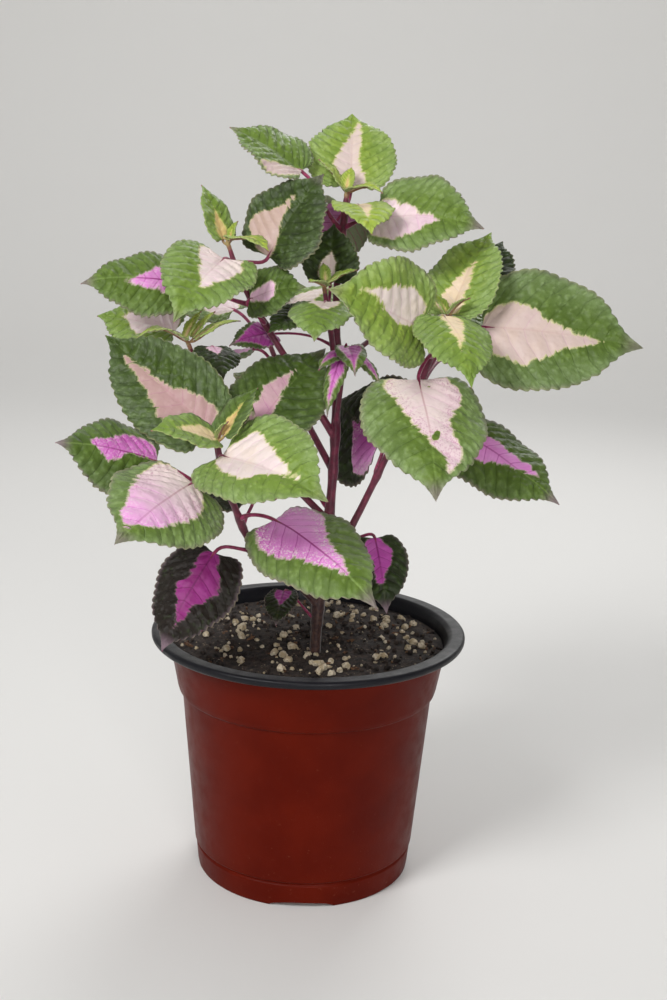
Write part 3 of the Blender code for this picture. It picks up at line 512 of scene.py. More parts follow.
def leaf_layers(bm):
    """The numbers that the leaf's finish reads at each point of the blade."""
    vectors = bm.verts.layers.float_vector
    return [vectors.get(name) or vectors.new(name) for name in ("place", "look", "age", "extra", "way")]


def patch_depth(blade, look, s, t):
    """How far in millimetres this place lies inside the patch; negative outside it."""
    low, high = look.patch[0][1:]
    for (s0, low0, high0), (s1, low1, high1) in zip(look.patch, look.patch[1:]):
        if s >= s0:
            share = min((s - s0) / (s1 - s0), 1.0)
            low, high = low0 + (low1 - low0) * share, high0 + (high1 - high0) * share
    half = max(blade.half_width(s), 2.0)
    depth = min(t - low, high - t) * half
    past_end = s - look.patch[-1][0]
    if past_end > 0:
        depth = min(depth, 0.0) - past_end * blade.length * 0.6
    for along, across, size, strength in look.dabs:
        aside, ahead = (t - across) * half, (s - along) * blade.length
        depth += strength * math.exp(-(aside ** 2 + ahead ** 2) / size ** 2)
    return depth


def blade_skin(bm, blade, look):
    """The blade as a thin closed skin, its upper face in material 0 and its lower one in material 1."""
    fine = blade.fine
    place_layer, look_layer, age_layer, extra_layer, way_layer = leaf_layers(bm)
    rng = random.Random(blade.number)
    rows = fine.teeth * fine.rows_per_tooth
    depths = [[rng.uniform(*TOOTH_VARIETY) for _ in range(fine.teeth + 2)] for _ in range(2)]
    grid = bmesh.ops.create_grid(bm, x_segments=fine.columns, y_segments=rows, size=1)["verts"]
    for vert in grid:
        t, row = -vert.co.x, round((vert.co.y + 1) / 2 * rows)
        share = row / rows
        s = run_place(share)
        half = blade.half_width(s)
        vert.co = blade.point(s, t)
        side = t > 0
        tooth, step = divmod(row + side * (fine.rows_per_tooth // 2), fine.rows_per_tooth)
        shape = tooth_shape(step / fine.rows_per_tooth)
        weight = smooth(0.72, 1, abs(t)) * smooth(0, 0.06, share) * (1 - 0.9 * smooth(0.78, 0.94, s))
        depth = fine.tooth_depth * depths[side][tooth] * weight
        aside, ahead = blade.margin_way(s)
        outwards = blade.across * aside * math.copysign(1, t) + blade.along * ahead
        vert.co += outwards * depth * (shape - 0.5) + blade.along * depth * TOOTH_SWEEP * shape
        vert.co += blade.normal * depth * TOOTH_CURL * math.sin(math.tau * step / fine.rows_per_tooth)
        blush = look.blush + look.drift[0] * s + look.drift[1] * t
        vert[place_layer] = (t, s, half)
        vert[look_layer] = (patch_depth(blade, look, s, t), blush, look.shade)
        vert[age_layer] = (look.purple, look.freckles, blade.number)
        # The last number is the patch's painted shade.
        vert[extra_layer] = (fine.veins, blade.length, look.dusk)
    bmesh.ops.remove_doubles(bm, verts=grid, dist=0.0005)
    upper = {face for face in bm.faces if not face.tag}
    known = set(bm.verts)
    bm.normal_update()
    for vert in {vert for face in upper for vert in face.verts}:
        vert[way_layer] = vert.normal
    bmesh.ops.solidify(bm, geom=list(upper), thickness=0)
    for vert in set(bm.verts) - known:
        vert.co -= vert[way_layer] * LEAF_SKIN
    for face in bm.faces:
        if not face.tag:
            finish_face(face, 0 if face in upper else 1)


def finish_face(face, material_index):
    """Smooth a finished face and tag it, so that later pieces of the same mesh leave it alone."""
    face.material_index = material_index
    face.smooth = True
    face.tag = True


def grow_tube(bm, centres, radii, sides, material_index, ribs=0.0):
    """A closed tube along a list of centres, grown ring by ring from a disc, with four low ribs or round."""
    ahead = (centres[1] - centres[0]).normalized()
    disc = bmesh.ops.create_circle(bm, cap_ends=True, segments=sides, radius=radii[0])["verts"]
    face = disc[0].link_faces[0]
    turn = UP.rotation_difference(ahead)
    for vert in disc:
        rib = 1 + ribs * math.cos(4 * math.atan2(vert.co.y, vert.co.x))
        vert.co = centres[0] + turn @ vert.co * rib
    faces = {face}
    last = len(centres) - 1
    for index in range(1, last + 1):
        end_cap = face
        pushed = bmesh.ops.extrude_face_region(bm, geom=[end_cap])["geom"]
        face = next(item for item in pushed if isinstance(item, bmesh.types.BMFace))
        if index > 1:
            bmesh.ops.delete(bm, geom=[end_cap], context="FACES_ONLY")
        onward = (centres[min(index + 1, last)] - centres[index - 1]).normalized()
        turn = ahead.rotation_difference(onward)
        for vert in face.verts:
            spoke = vert.co - centres[index - 1]
            vert.co = centres[index] + turn @ spoke * (radii[index] / radii[index - 1])
        ahead = onward
        for vert in face.verts:
            faces.update(vert.link_faces)
    faces = [item for item in faces if item.is_valid]
    bmesh.ops.recalc_face_normals(bm, faces=faces)
    for item in faces:
        finish_face(item, material_index)


def petiole_and_keel(bm, blade, end, leaves, seat_radius, steps=9, keel_steps=16):
    """The stalk from its seat on the stem to the blade, and on as the raised midrib under it."""
    start = blade.base - blade.normal * BLADE_THICKNESS / 2
    pull = (end - start).length * PETIOLE_PULL
    handles = (start - blade.rise() * pull, end + leaves * pull)
    slim = min(1.0, 0.45 + blade.width / 60)
    centres, radii = [], []
    for step in range(steps + 1):
        centres.append(bezier(start, *handles, end, 1 - step / steps))
        waist = (PETIOLE_WAIST - seat_radius) * smooth(0, 0.35, step / steps)
        radii.append(slim * (seat_radius + waist))
    for step in range(1, keel_steps + 1):
        s = KEEL_REACH * step / keel_steps
        radius = slim * (KEEL_RADIUS - KEEL_TAPER * step / keel_steps)
        sink = LEAF_SKIN - BLADE_THICKNESS / 2 + radius * 0.45
        under = BLADE_THICKNESS / 2 + sink * smooth(0, 0.12, s)
        centres.append(blade.point(s, 0) - blade.normal * under)
        radii.append(radius)
    grow_tube(bm, centres, radii, PETIOLE_SIDES, 2)


def link(obj):
    bpy.context.scene.collection.objects.link(obj)
    return obj


def new_object(bm, name):
    """An object, in metres, from a bmesh that is drawn in millimetres. It isn't in the scene yet."""
    bmesh.ops.scale(bm, vec=Vector((MM, MM, MM)), verts=bm.verts)
    mesh = bpy.data.meshes.new(name)
    bm.to_mesh(mesh)
    bm.free()
    return bpy.data.objects.new(name, mesh)


def finish_piece(obj, materials, slot, node):
    """Give a piece its materials and tie it to the frame."""
    for material in materials:
        obj.data.materials.append(material)
    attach(obj, "root")
    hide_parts(node)


def make_leaf(name, leaf, number, finishes):
    centre, ahead, radius = stem_place(STEMS[leaf.stem], leaf.joins_at)
    large = (Vector(leaf.tip) - Vector(leaf.base)).length > LARGE_FROM
    blade = Blade(leaf.base, leaf.tip, leaf.width, leaf.roll, leaf.arch, leaf.fold,
                  LARGE_LEAF if large else SMALL_LEAF, number)
    out = blade.base - centre
    out = (out - ahead * out.dot(ahead)).normalized()
    bm = bmesh.new()
    blade_skin(bm, blade, leaf.look)
    petiole_and_keel(bm, blade, centre + out * radius * 0.5, (out + ahead * 0.7).normalized(), PETIOLE_SEAT)
    piece = link(new_object(bm, "Leaf_" + name))
    finish_piece(piece, finishes[leaf.kind], leaf.kind + "_leaf", "leaf_" + name)


def make_shoot_tip(name, number, finishes):
    """The small leaves at the end of a shoot, on the short stalk that ends the stem."""
    stem_name, blades, looks = TIPS[name]
    stem = STEMS[stem_name]
    top = Vector(stem.points[-1])
    ahead = (top - Vector(stem.points[-2])).normalized()
    kind = "shaded" if name == "middle" else "young"
    bm = bmesh.new()
    for index, (base, tip, width, roll, arch, fold) in enumerate(blades):
        blade = Blade(base, tip, width, roll, arch, fold, YOUNG_LEAF, number + index)
        blade_skin(bm, blade, looks[min(index, len(looks) - 1)])
        inside = top + ahead * (1.5 + 0.5 * index)
        petiole_and_keel(bm, blade, inside, (blade.base - inside).normalized(), TIP_PETIOLE_SEAT, 5, 9)
    radius = stem.radii[1]
    stalk = ((-1.5, 0.9), (0, 1.0), (1.5, 1.15), (3.0, 1.0), (4.2, 0.6), (4.8, 0.15))
    centres = [top + ahead * height for height, _ in stalk]
    grow_tube(bm, centres, [radius * width for _, width in stalk], 10, 2)
    piece = link(new_object(bm, "Shoot_tip_" + name))
    finish_piece(piece, finishes[kind], kind + "_leaf", "shoot_tip_" + name)


def near_stem(branch, stem):
    start = Vector(branch.points[0])
    return (stem_place(stem, start.z)[0] - start).length < JOINED_WITHIN


def make_stems(finish):
    """The squarish main stem and its branches, swollen where leaves and branches leave them."""
    bodies = []
    for name, stem in STEMS.items():
        points = [Vector(point) for point in stem.points]
        last = len(points) - 1
        steps = STEM_RINGS * last
        joints = [leaf.joins_at for leaves in LEAVES.values() for leaf in leaves if leaf.stem == name]
        joints += [other.points[0][2] for other in STEMS.values()
                   if other is not stem and near_stem(other, stem)]
        thick, thin = stem.radii
        centres, radii = [], []
        for step in range(steps + 1):
            centre = curve_point(points, last * step / steps)
            swell = sum(math.exp(-((centre.z - joint) / SWELL_LENGTH) ** 2) for joint in joints)
            centres.append(centre)
            radii.append((thick + (thin - thick) * step / steps) * (1 + SWELLING * min(swell, 1)))
        bm = bmesh.new()
        grow_tube(bm, centres, radii, STEM_SIDES, 0, STEM_RIBS)
        bodies.append(new_object(bm, "Stems"))
    stems = link(bodies[0])
    apply_boolean(stems, "UNION", bodies[1:])
    stems.data.shade_smooth()
    stems.data.materials.clear()
    finish_piece(stems, [finish], "stem_tissue", "stems")


def apply_boolean(obj, operation, others):
    """Join or cut obj with a list of unlinked objects, which are then removed."""
    group = bpy.data.collections.new("others")
    bpy.context.scene.collection.children.link(group)
    for other in others:
        group.objects.link(other)
    modifier = obj.modifiers.new("join", "BOOLEAN")
    modifier.operation = operation
    modifier.solver = "EXACT"
    modifier.operand_type = "COLLECTION"
    modifier.collection = group
    graph = bpy.context.evaluated_depsgraph_get()
    finished = bpy.data.meshes.new_from_object(obj.evaluated_get(graph), depsgraph=graph)
    obj.modifiers.clear()
    obj.data = finished
    for other in others:
        bpy.data.objects.remove(other, do_unlink=True)
    bpy.data.collections.remove(group)


# Pot: a thin moulded wall with a foot band, a step below the flaring collar and a flat rolled lip.
POT_STEPS = 160
POT_HEIGHT = 112.0
LIP_RADIUS = 70.0
FLOOR = 1.2
FLOOR_RISE = 2.4
PAD_RADIUS = 20.0
FOOT_RING_INNER = 44.0
NOTCHES = 4
NOTCH_WIDTH = 28.0
NOTCH_HEIGHT = 2.4
DRAIN_HOLES = 8
DRAIN_HOLE_RADIUS = 4.0
DRAIN_CIRCLE_RADIUS = 32.0
SHARP_ANGLE = 50

# Radius, height and rounding of each corner of the section, from the pad under the floor, up the
# outside, over the lip, down the inside and back to the middle of the floor.
POT_SECTION = [
    (0, 0, 0), (PAD_RADIUS, 0, 0.3), (PAD_RADIUS + 1.5, FLOOR_RISE, 0.4),
    (FOOT_RING_INNER - 1, FLOOR_RISE, 0.4), (FOOT_RING_INNER, 0, 0.3), (48.4, 0, 0.8),
    (49.4, 10.2, 0.5), (48.8, 10.9, 0.4), (48.9, 11.7, 0.4), (50.0, 12.4, 0.5),
    (56.2, 84.2, 0.7), (57.7, 85.0, 0.5), (58.3, 87.0, 0.7), (62.3, 108.3, 0.5),
    (69.2, 108.5, 0.6), (LIP_RADIUS, 109.6, 0.7), (LIP_RADIUS, 111.2, 0.7), (69.0, POT_HEIGHT, 0.8),
    (63.8, POT_HEIGHT, 0.8), (62.3, 110.6, 0.8), (61.2, 107.6, 0.6), (57.4, 87.0, 0.6),
    (55.1, 84.7, 0.6), (48.9, 12.4, 0.6), (47.8, FLOOR_RISE + FLOOR, 0.5),
    (PAD_RADIUS + 2, FLOOR_RISE + FLOOR, 0.4), (PAD_RADIUS - 0.5, FLOOR, 0.4), (0, FLOOR, 0),
]
INNER_WALL = slice(19, 25)


def rounded_section(corners, steps=4):
    """The section's points, each corner replaced by a short curve of its rounding."""
    points = []
    for index, (radius, height, rounding) in enumerate(corners):
        corner = Vector((radius, height))
        if not rounding:
            points.append(corner)
            continue
        before = Vector(corners[index - 1][:2]) - corner
        after = Vector(corners[index + 1][:2]) - corner
        start = corner + before.normalized() * min(rounding, before.length * 0.45)
        end = corner + after.normalized() * min(rounding, after.length * 0.45)
        for step in range(steps + 1):
            u = step / steps
            points.append(start * (1 - u) ** 2 + corner * 2 * u * (1 - u) + end * u * u)
    return points


def spin_section(points, steps):
    """Turn a section around the Z axis. It closes into a solid where both of its ends lie on the axis."""
    bm = bmesh.new()
    verts = [bm.verts.new((point[0], 0, point[1])) for point in points]
    edges = [bm.edges.new(pair) for pair in zip(verts, verts[1:])]
    bmesh.ops.spin(bm, geom=verts + edges, cent=ORIGIN, axis=UP, angle=math.tau, steps=steps, use_merge=True)
    bmesh.ops.remove_doubles(bm, verts=bm.verts, dist=0.001)
    bmesh.ops.recalc_face_normals(bm, faces=bm.faces)
    return bm


def notch_cutter(turn, steps=12):
    """A low arch that runs out through the foot ring."""
    bm = bmesh.new()
    radius = NOTCH_WIDTH / 2
    bmesh.ops.create_cone(bm, cap_ends=True, segments=4 * steps, radius1=radius, radius2=radius, depth=14)
    bmesh.ops.scale(bm, vec=Vector((NOTCH_HEIGHT / radius, 1, 1)), verts=bm.verts)
    lying = Quaternion((0, 1, 0), math.pi / 2).to_matrix()
    bmesh.ops.rotate(bm, verts=bm.verts, cent=ORIGIN, matrix=lying)
    bmesh.ops.translate(bm, verts=bm.verts, vec=(FOOT_RING_INNER + 4, 0, 0))
    bmesh.ops.rotate(bm, verts=bm.verts, cent=ORIGIN, matrix=Quaternion(UP, turn).to_matrix())
    return new_object(bm, "notch")


def drain_cutter(turn):
    bm = bmesh.new()
    bmesh.ops.create_cone(bm, cap_ends=True, segments=32, radius1=DRAIN_HOLE_RADIUS,
                          radius2=DRAIN_HOLE_RADIUS, depth=8)
    centre = (DRAIN_CIRCLE_RADIUS * math.cos(turn), DRAIN_CIRCLE_RADIUS * math.sin(turn), FLOOR_RISE + 2)
    bmesh.ops.translate(bm, verts=bm.verts, vec=centre)
    return new_object(bm, "drain")


def make_pot(outer, inner):
    """The two-tone pot: one plastic outside, the other at the lip and inside."""
    pot = link(new_object(spin_section(rounded_section(POT_SECTION), POT_STEPS), "Pot"))
    finish_piece(pot, [outer, inner], "pot_plastic", "pot")
    cutters = [notch_cutter(math.tau * turn / NOTCHES - math.pi / 2) for turn in range(NOTCHES)]
    cutters += [drain_cutter(math.tau * (turn + 0.5) / DRAIN_HOLES) for turn in range(DRAIN_HOLES)]
    apply_boolean(pot, "DIFFERENCE", cutters)
    for face in pot.data.polygons:
        centre, normal = face.center / MM, face.normal
        outward = normal.x * centre.x + normal.y * centre.y > 0
        wall = 0.5 < centre.z < 108.0 and math.hypot(centre.x, centre.y) > 47.0 and outward
        face.material_index = 0 if wall or centre.z < FLOOR_RISE else 1
    pot.data.shade_smooth()
    pot.data.set_sharp_from_angle(angle=math.radians(SHARP_ANGLE))


# Potting mix: a lumpy top with crumbs, bark and pale grains pressed into it.
SOIL_EDGE_LEVEL = 105.6
SOIL_CROWN = 2.0
SOIL_RINGS = 46
SOIL_STEPS = 144
SOIL_LUMP = 0.9
SOIL_LUMP_SCALE = 0.09
SOIL_GAP = 0.3
CRUMBS = 620
BARK_BITS = 70
PERLITE_GRAINS = 190
# Middle and spread of the places where more of the grains lie, and the share of them that lie there.
PERLITE_HEAPS = [(42, -14, 7), (45, -2, 6), (24, 22, 9), (-24, 10, 9), (-30, -18, 7), (4, -38, 7),
                 (10, 42, 8), (-8, -30, 6), (-40, 26, 8)]
HEAPED_SHARE = 0.55


def pot_inner_radius(height):
    """Radius of the pot's inner wall at a height."""
    wall = sorted((corner[1], corner[0]) for corner in POT_SECTION[INNER_WALL])
    for (low, low_radius), (high, high_radius) in zip(wall, wall[1:]):
        if height <= high:
            return low_radius + (high_radius - low_radius) * (height - low) / (high - low)
    return wall[-1][1]


def soil_level(x, y):
    """Height of the mix's top: highest in the middle, with lumps and small crumbs."""
    edge = pot_inner_radius(SOIL_EDGE_LEVEL)
    crown = SOIL_CROWN * (1 - (x * x + y * y) / edge ** 2)
    lump = SOIL_LUMP * noise.noise(Vector((x, y, 0)) * SOIL_LUMP_SCALE)
    grit = 0.9 * noise.noise(Vector((x, y, 4)) * 0.33) + 0.5 * noise.noise(Vector((x, y, 9)) * 0.8)
    return SOIL_EDGE_LEVEL + crown + lump + grit


def add_lump(bm, rng, x, y, rise, size, stretch, subdivisions, material_index):
    """One angular body, turned at random and part sunk in the mix at this place of its top."""
    place = Vector((x, y, soil_level(x, y) + rise))
    verts = bmesh.ops.create_icosphere(bm, subdivisions=subdivisions, radius=size)["verts"]
    spin = Quaternion((rng.uniform(-1, 1), rng.uniform(-1, 1), 1), rng.uniform(0, math.tau))
    for vert in verts:
        vert.co *= rng.uniform(0.72, 1.12)
        vert.co.x *= stretch
        vert.co = spin @ vert.co + place
    for face in {face for vert in verts for face in vert.link_faces}:
        face.material_index = material_index


def scattered_places(rng, count, edge, heaps=()):
    """Places on the mix's top that stay clear of the stem's foot, about half of them around any heaps."""
    main = STEMS["main"]
    foot, clear = Vector(main.points[0]), main.radii[0] + 1.5
    places = []
    while len(places) < count:
        angle, radius = rng.uniform(0, math.tau), edge * math.sqrt(rng.random())
        x, y = radius * math.cos(angle), radius * math.sin(angle)
        if heaps and rng.random() < HEAPED_SHARE:
            middle_x, middle_y, size = rng.choice(heaps)
            x, y = rng.gauss(middle_x, size), rng.gauss(middle_y, size)
        if math.hypot(x, y) < edge and math.hypot(x - foot.x, y - foot.y) > clear:
            places.append((x, y))
    return places


def make_soil(mix, perlite, bark):
    """The potting mix that fills the pot, with its crumbs, bark and perlite."""
    edge = pot_inner_radius(SOIL_EDGE_LEVEL) - SOIL_GAP
    foot = FLOOR_RISE + FLOOR + SOIL_GAP
    wall = [(0, foot), (47.5, foot), (48.6, 12.4), (54.8, 84.7), (57.1, 87.0)]
    rings = [(edge * ring / SOIL_RINGS, SOIL_EDGE_LEVEL) for ring in range(SOIL_RINGS, -1, -1)]
    bm = spin_section(wall + rings, SOIL_STEPS)
    for vert in bm.verts:
        radius = math.hypot(vert.co.x, vert.co.y)
        if vert.co.z > SOIL_EDGE_LEVEL - 0.1:
            level = soil_level(vert.co.x, vert.co.y) - SOIL_EDGE_LEVEL
            vert.co.z += level * (1 - 0.8 * smooth(edge - 2, edge, radius))
    for face in bm.faces:
        face.smooth = True
    rng = random.Random(5)
    for x, y in scattered_places(rng, CRUMBS, edge - 1.2):
        size = rng.uniform(0.35, 1.0) if rng.random() < 0.8 else rng.uniform(1.0, 1.9)
        add_lump(bm, rng, x, y, size * 0.3, size, 1.0, 1, 0)
    for x, y in scattered_places(rng, BARK_BITS, edge - 3.5):
        size = rng.uniform(0.5, 0.9)
        add_lump(bm, rng, x, y, 0.3, size, rng.uniform(2.0, 4.0), 1, 2)
    for index, (x, y) in enumerate(scattered_places(rng, PERLITE_GRAINS, edge - 2.6, PERLITE_HEAPS)):
        size = rng.uniform(0.5, 1.0) if index % 5 < 3 else rng.uniform(1.0, 2.1)
        add_lump(bm, rng, x, y, size * 0.25, size, rng.uniform(1.0, 1.6), 2, 1)
    finish_piece(link(new_object(bm, "Potting_mix")), [mix, perlite, bark], "potting_mix", "soil")


class Value:
    """A number, colour or vector in a material. Arithmetic on it adds math nodes."""

    def __init__(self, surface, socket):
        self.surface, self.socket = surface, socket

    def __add__(self, other):
        return self.surface.math("ADD", self, other)

    def __sub__(self, other):
        return self.surface.math("SUBTRACT", self, other)

    def __rsub__(self, other):
        return self.surface.math("SUBTRACT", other, self)

    def __mul__(self, other):
        return self.surface.math("MULTIPLY", self, other)

    def __truediv__(self, other):
        return self.surface.math("DIVIDE", self, other)

    def __abs__(self):
        return self.surface.math("ABSOLUTE", self)


class Surface:
    """A material whose nodes are added and joined by short calls."""

    def __init__(self, name):
        self.material = bpy.data.materials.new(name)
        self.material.use_nodes = True
        self.tree = self.material.node_tree
        self.place = self.node("TexCoord", output="Object")

    def plug(self, socket, value):
        """Join a worked-out value to an input, or write a plain one into it."""
        if isinstance(value, Value):
            self.tree.links.new(value.socket, socket)
        elif isinstance(value, tuple) and len(socket.default_value) > len(value):
            socket.default_value = (*value, 1)
        else:
            socket.default_value = value

    def node(self, kind, inputs=None, output=0, **settings):
        """Add a node, fill inputs given by their index or name, and return one of its outputs."""
        node = self.tree.nodes.new("ShaderNode" + kind)
        for setting, value in settings.items():
            setattr(node, setting, value)
        for key, value in (inputs or {}).items():
            self.plug(node.inputs[key], value)
        return Value(self, node.outputs[output])

    def set(self, **values):
        """Set or join inputs of the shader, given by their names with underscores for spaces."""
        shader = self.tree.nodes["Principled BSDF"]
        for name, value in values.items():
            self.plug(shader.inputs[name.replace("_", " ")], value)

    def math(self, operation, a, b=0.0, clamp=False):
        return self.node("Math", {0: a, 1: b}, operation=operation, use_clamp=clamp)

    def fraction(self, value):
        return self.math("FRACT", value)

    def band(self, value, low, high, start=0.0, end=1.0):
        """From start to end, in an S-curve, while value goes from low to high."""
        inputs = dict(enumerate((value, low, high, start, end)))
        return self.node("MapRange", inputs, interpolation_type="SMOOTHSTEP")

    def blend_value(self, share, first, second):
        return self.node("Mix", {0: share, 2: first, 3: second}, data_type="FLOAT")

    def blend(self, share, first, second, kind="MIX"):
        return self.node("Mix", {0: share, 6: first, 7: second}, 2, data_type="RGBA", blend_type=kind)

    def ramp(self, value, stops):
        colour = self.node("ValToRGB", {0: value})
        line = colour.socket.node.color_ramp
        while len(line.elements) < len(stops):
            line.elements.new(1.0)
        for element, (place, tint) in zip(line.elements, stops):
            element.position = place
            element.color = (*tint, 1)
        return colour

    def vector(self, x, y, z):
        return self.node("CombineXYZ", {0: x, 1: y, 2: z})

    def split(self, vector):
        node = self.node("SeparateXYZ", {0: vector}).socket.node
        return [Value(self, socket) for socket in node.outputs]

    def attribute(self, name):
        return self.split(self.node("Attribute", output="Vector", attribute_name=name))

    def noise(self, size_mm, detail=2.0, roughness=0.5, output=0):
        """Soft noise between 0 and 1 with features of about this size."""
        inputs = {"Vector": self.place, "Scale": 1 / (size_mm * MM), "Detail": detail, "Roughness": roughness}
        return self.node("TexNoise", inputs, output)

    def mottled(self, size_mm, detail, low, high, first, second, roughness=0.5):
        """Two colours in soft-edged patches of about this size."""
        return self.blend(self.band(self.noise(size_mm, detail, roughness), low, high), first, second)

    def cells(self, size_mm, feature="DISTANCE_TO_EDGE", vector=None):
        inputs = {"Vector": vector or self.place, "Scale": 1 / (size_mm * MM)}
        return self.node("TexVoronoi", inputs, "Distance", feature=feature)

    def bump(self, height, depth_mm):
        """Relief from a height between 0 and 1, this many millimetres deep."""
        self.set(Normal=self.node("Bump", {"Height": height, "Distance": depth_mm * MM, "Strength": 1.0}))


# Colours of a leaf by its shade, and of its patch, the patch's veins and its border by its blush.
GREENS = [
    (0.00, (0.42, 0.50, 0.045)), (0.15, (0.31, 0.42, 0.045)), (0.35, (0.18, 0.28, 0.034)),
    (0.55, (0.092, 0.155, 0.016)), (0.75, (0.040, 0.074, 0.006)), (0.90, (0.015, 0.027, 0.003)),
    (1.00, (0.011, 0.006, 0.004)),
]
BLUSHES = [
    (0.00, (0.64, 0.38, 0.14)), (0.12, (0.76, 0.60, 0.26)), (0.28, (0.80, 0.63, 0.44)),
    (0.44, (0.82, 0.70, 0.66)), (0.58, (0.80, 0.55, 0.66)), (0.74, (0.80, 0.31, 0.70)),
    (0.88, (0.50, 0.08, 0.40)), (1.00, (0.22, 0.012, 0.14)),
]
VEIN_TINTS = [
    (0.00, (0.42, 0.12, 0.04)), (0.40, (0.52, 0.28, 0.26)), (0.75, (0.34, 0.03, 0.22)),
    (1.00, (0.10, 0.004, 0.06)),
]
BORDERS = [
    (0.00, (0.62, 0.60, 0.16)), (0.40, (0.66, 0.64, 0.28)), (0.60, (0.70, 0.62, 0.46)),
    (1.00, (0.56, 0.36, 0.40)),
]
# Rose that the painted shade darkens patches in shadow towards.
PAINTED_SHADE_ROSE = (0.56, 0.44, 0.41)
# Whitish tint of the painted sheen on the leaves' green.
PAINTED_SHEEN_TINT = (0.43, 0.55, 0.32)
# Tint of the painted shade along the sunk side veins.
VEIN_SHADE_TINT = (0.35, 0.40, 0.20)
DARK_FLECK = (0.42, 0.10, 0.26)
PALE_FLECK = (0.84, 0.72, 0.74)
GREEN_RIB = (0.26, 0.38, 0.10)
DARK_RIB = (0.035, 0.020, 0.014)
TURNED = (0.25, 0.17, 0.21)
PALE_RIM = (0.48, 0.46, 0.24)


class LeafPattern:
    """Where the veins, the patch and its border lie on a blade, worked out from the blade's own places."""

    def __init__(self, g):
        across, self.along, half = g.attribute("place")
        depth, self.blush, self.shade = g.attribute("look")
        self.purple, self.freckles, number = g.attribute("age")
        veins, length, self.dusk = g.attribute("extra")
        self.broad_noise = g.noise(9, 2)
        self.aside = abs(across)
        from_midrib = across * half
        lean = self.aside * (self.aside * VEIN_BEND + 1.0) * (VEIN_LEAN / (1 + VEIN_BEND))
        start = (self.along - lean) / (1.0 - lean)
        row = start * veins + (g.noise(11, 1) - 0.5) * 0.5
        forward = g.blend_value(0.35, self.along, start) * length
        self.combed = g.vector(from_midrib * MM, forward * MM, number * MM)
        off_middle = abs(g.fraction(row) - 0.5) * 2.0
        before_tip = g.band(self.along, 0.92, 0.8)
        self.side_vein = g.band(off_middle, 0.88, 0.985) * before_tip
        self.valley = g.band(off_middle, 0.35, 1.0) * before_tip
        self.midrib = g.band(abs(from_midrib), 0.55, 0.2)
        self.fine_veins = g.band(abs(g.fraction(row * 4.0) - 0.5), 0.36, 0.5)
        strips = row * 3.0
        strip_place = g.vector(g.math("FLOOR", strips), g.math("SIGN", across), number)
        chance = g.node("TexWhiteNoise", {"Vector": strip_place}, noise_dimensions="3D")
        saw = (0.5 - g.fraction(strips)) * 0.7
        jagged = ((chance - 0.5) * 1.5 + saw) * g.band(start, -0.12, 0.08)
        wander = (g.noise(5.0, 1) - 0.5) * 3.4
        fray = (g.noise(1.1, 2) - 0.5) * 1.6
        self.inwards = depth + (jagged + (wander + fray)) * g.band(length, 8.0, 55.0, 0.2, 1.0)
        self.patch = g.band(self.inwards, -0.16, 0.16)
        self.border = g.band(abs(self.inwards + 0.1), 0.75, 0.1)


def patch_colour(g, leaf, deepen=0.0):
    """Colour of the patch: its blush, unevenly spread and deeper along the veins, then darkened towards a
    rose by the leaf's painted shade.
    """
    tint = leaf.blush + (leaf.broad_noise - 0.5) * 0.16 + leaf.side_vein * 0.06 + deepen
    return g.blend(leaf.dusk, g.ramp(tint, BLUSHES), PAINTED_SHADE_ROSE, "MULTIPLY")


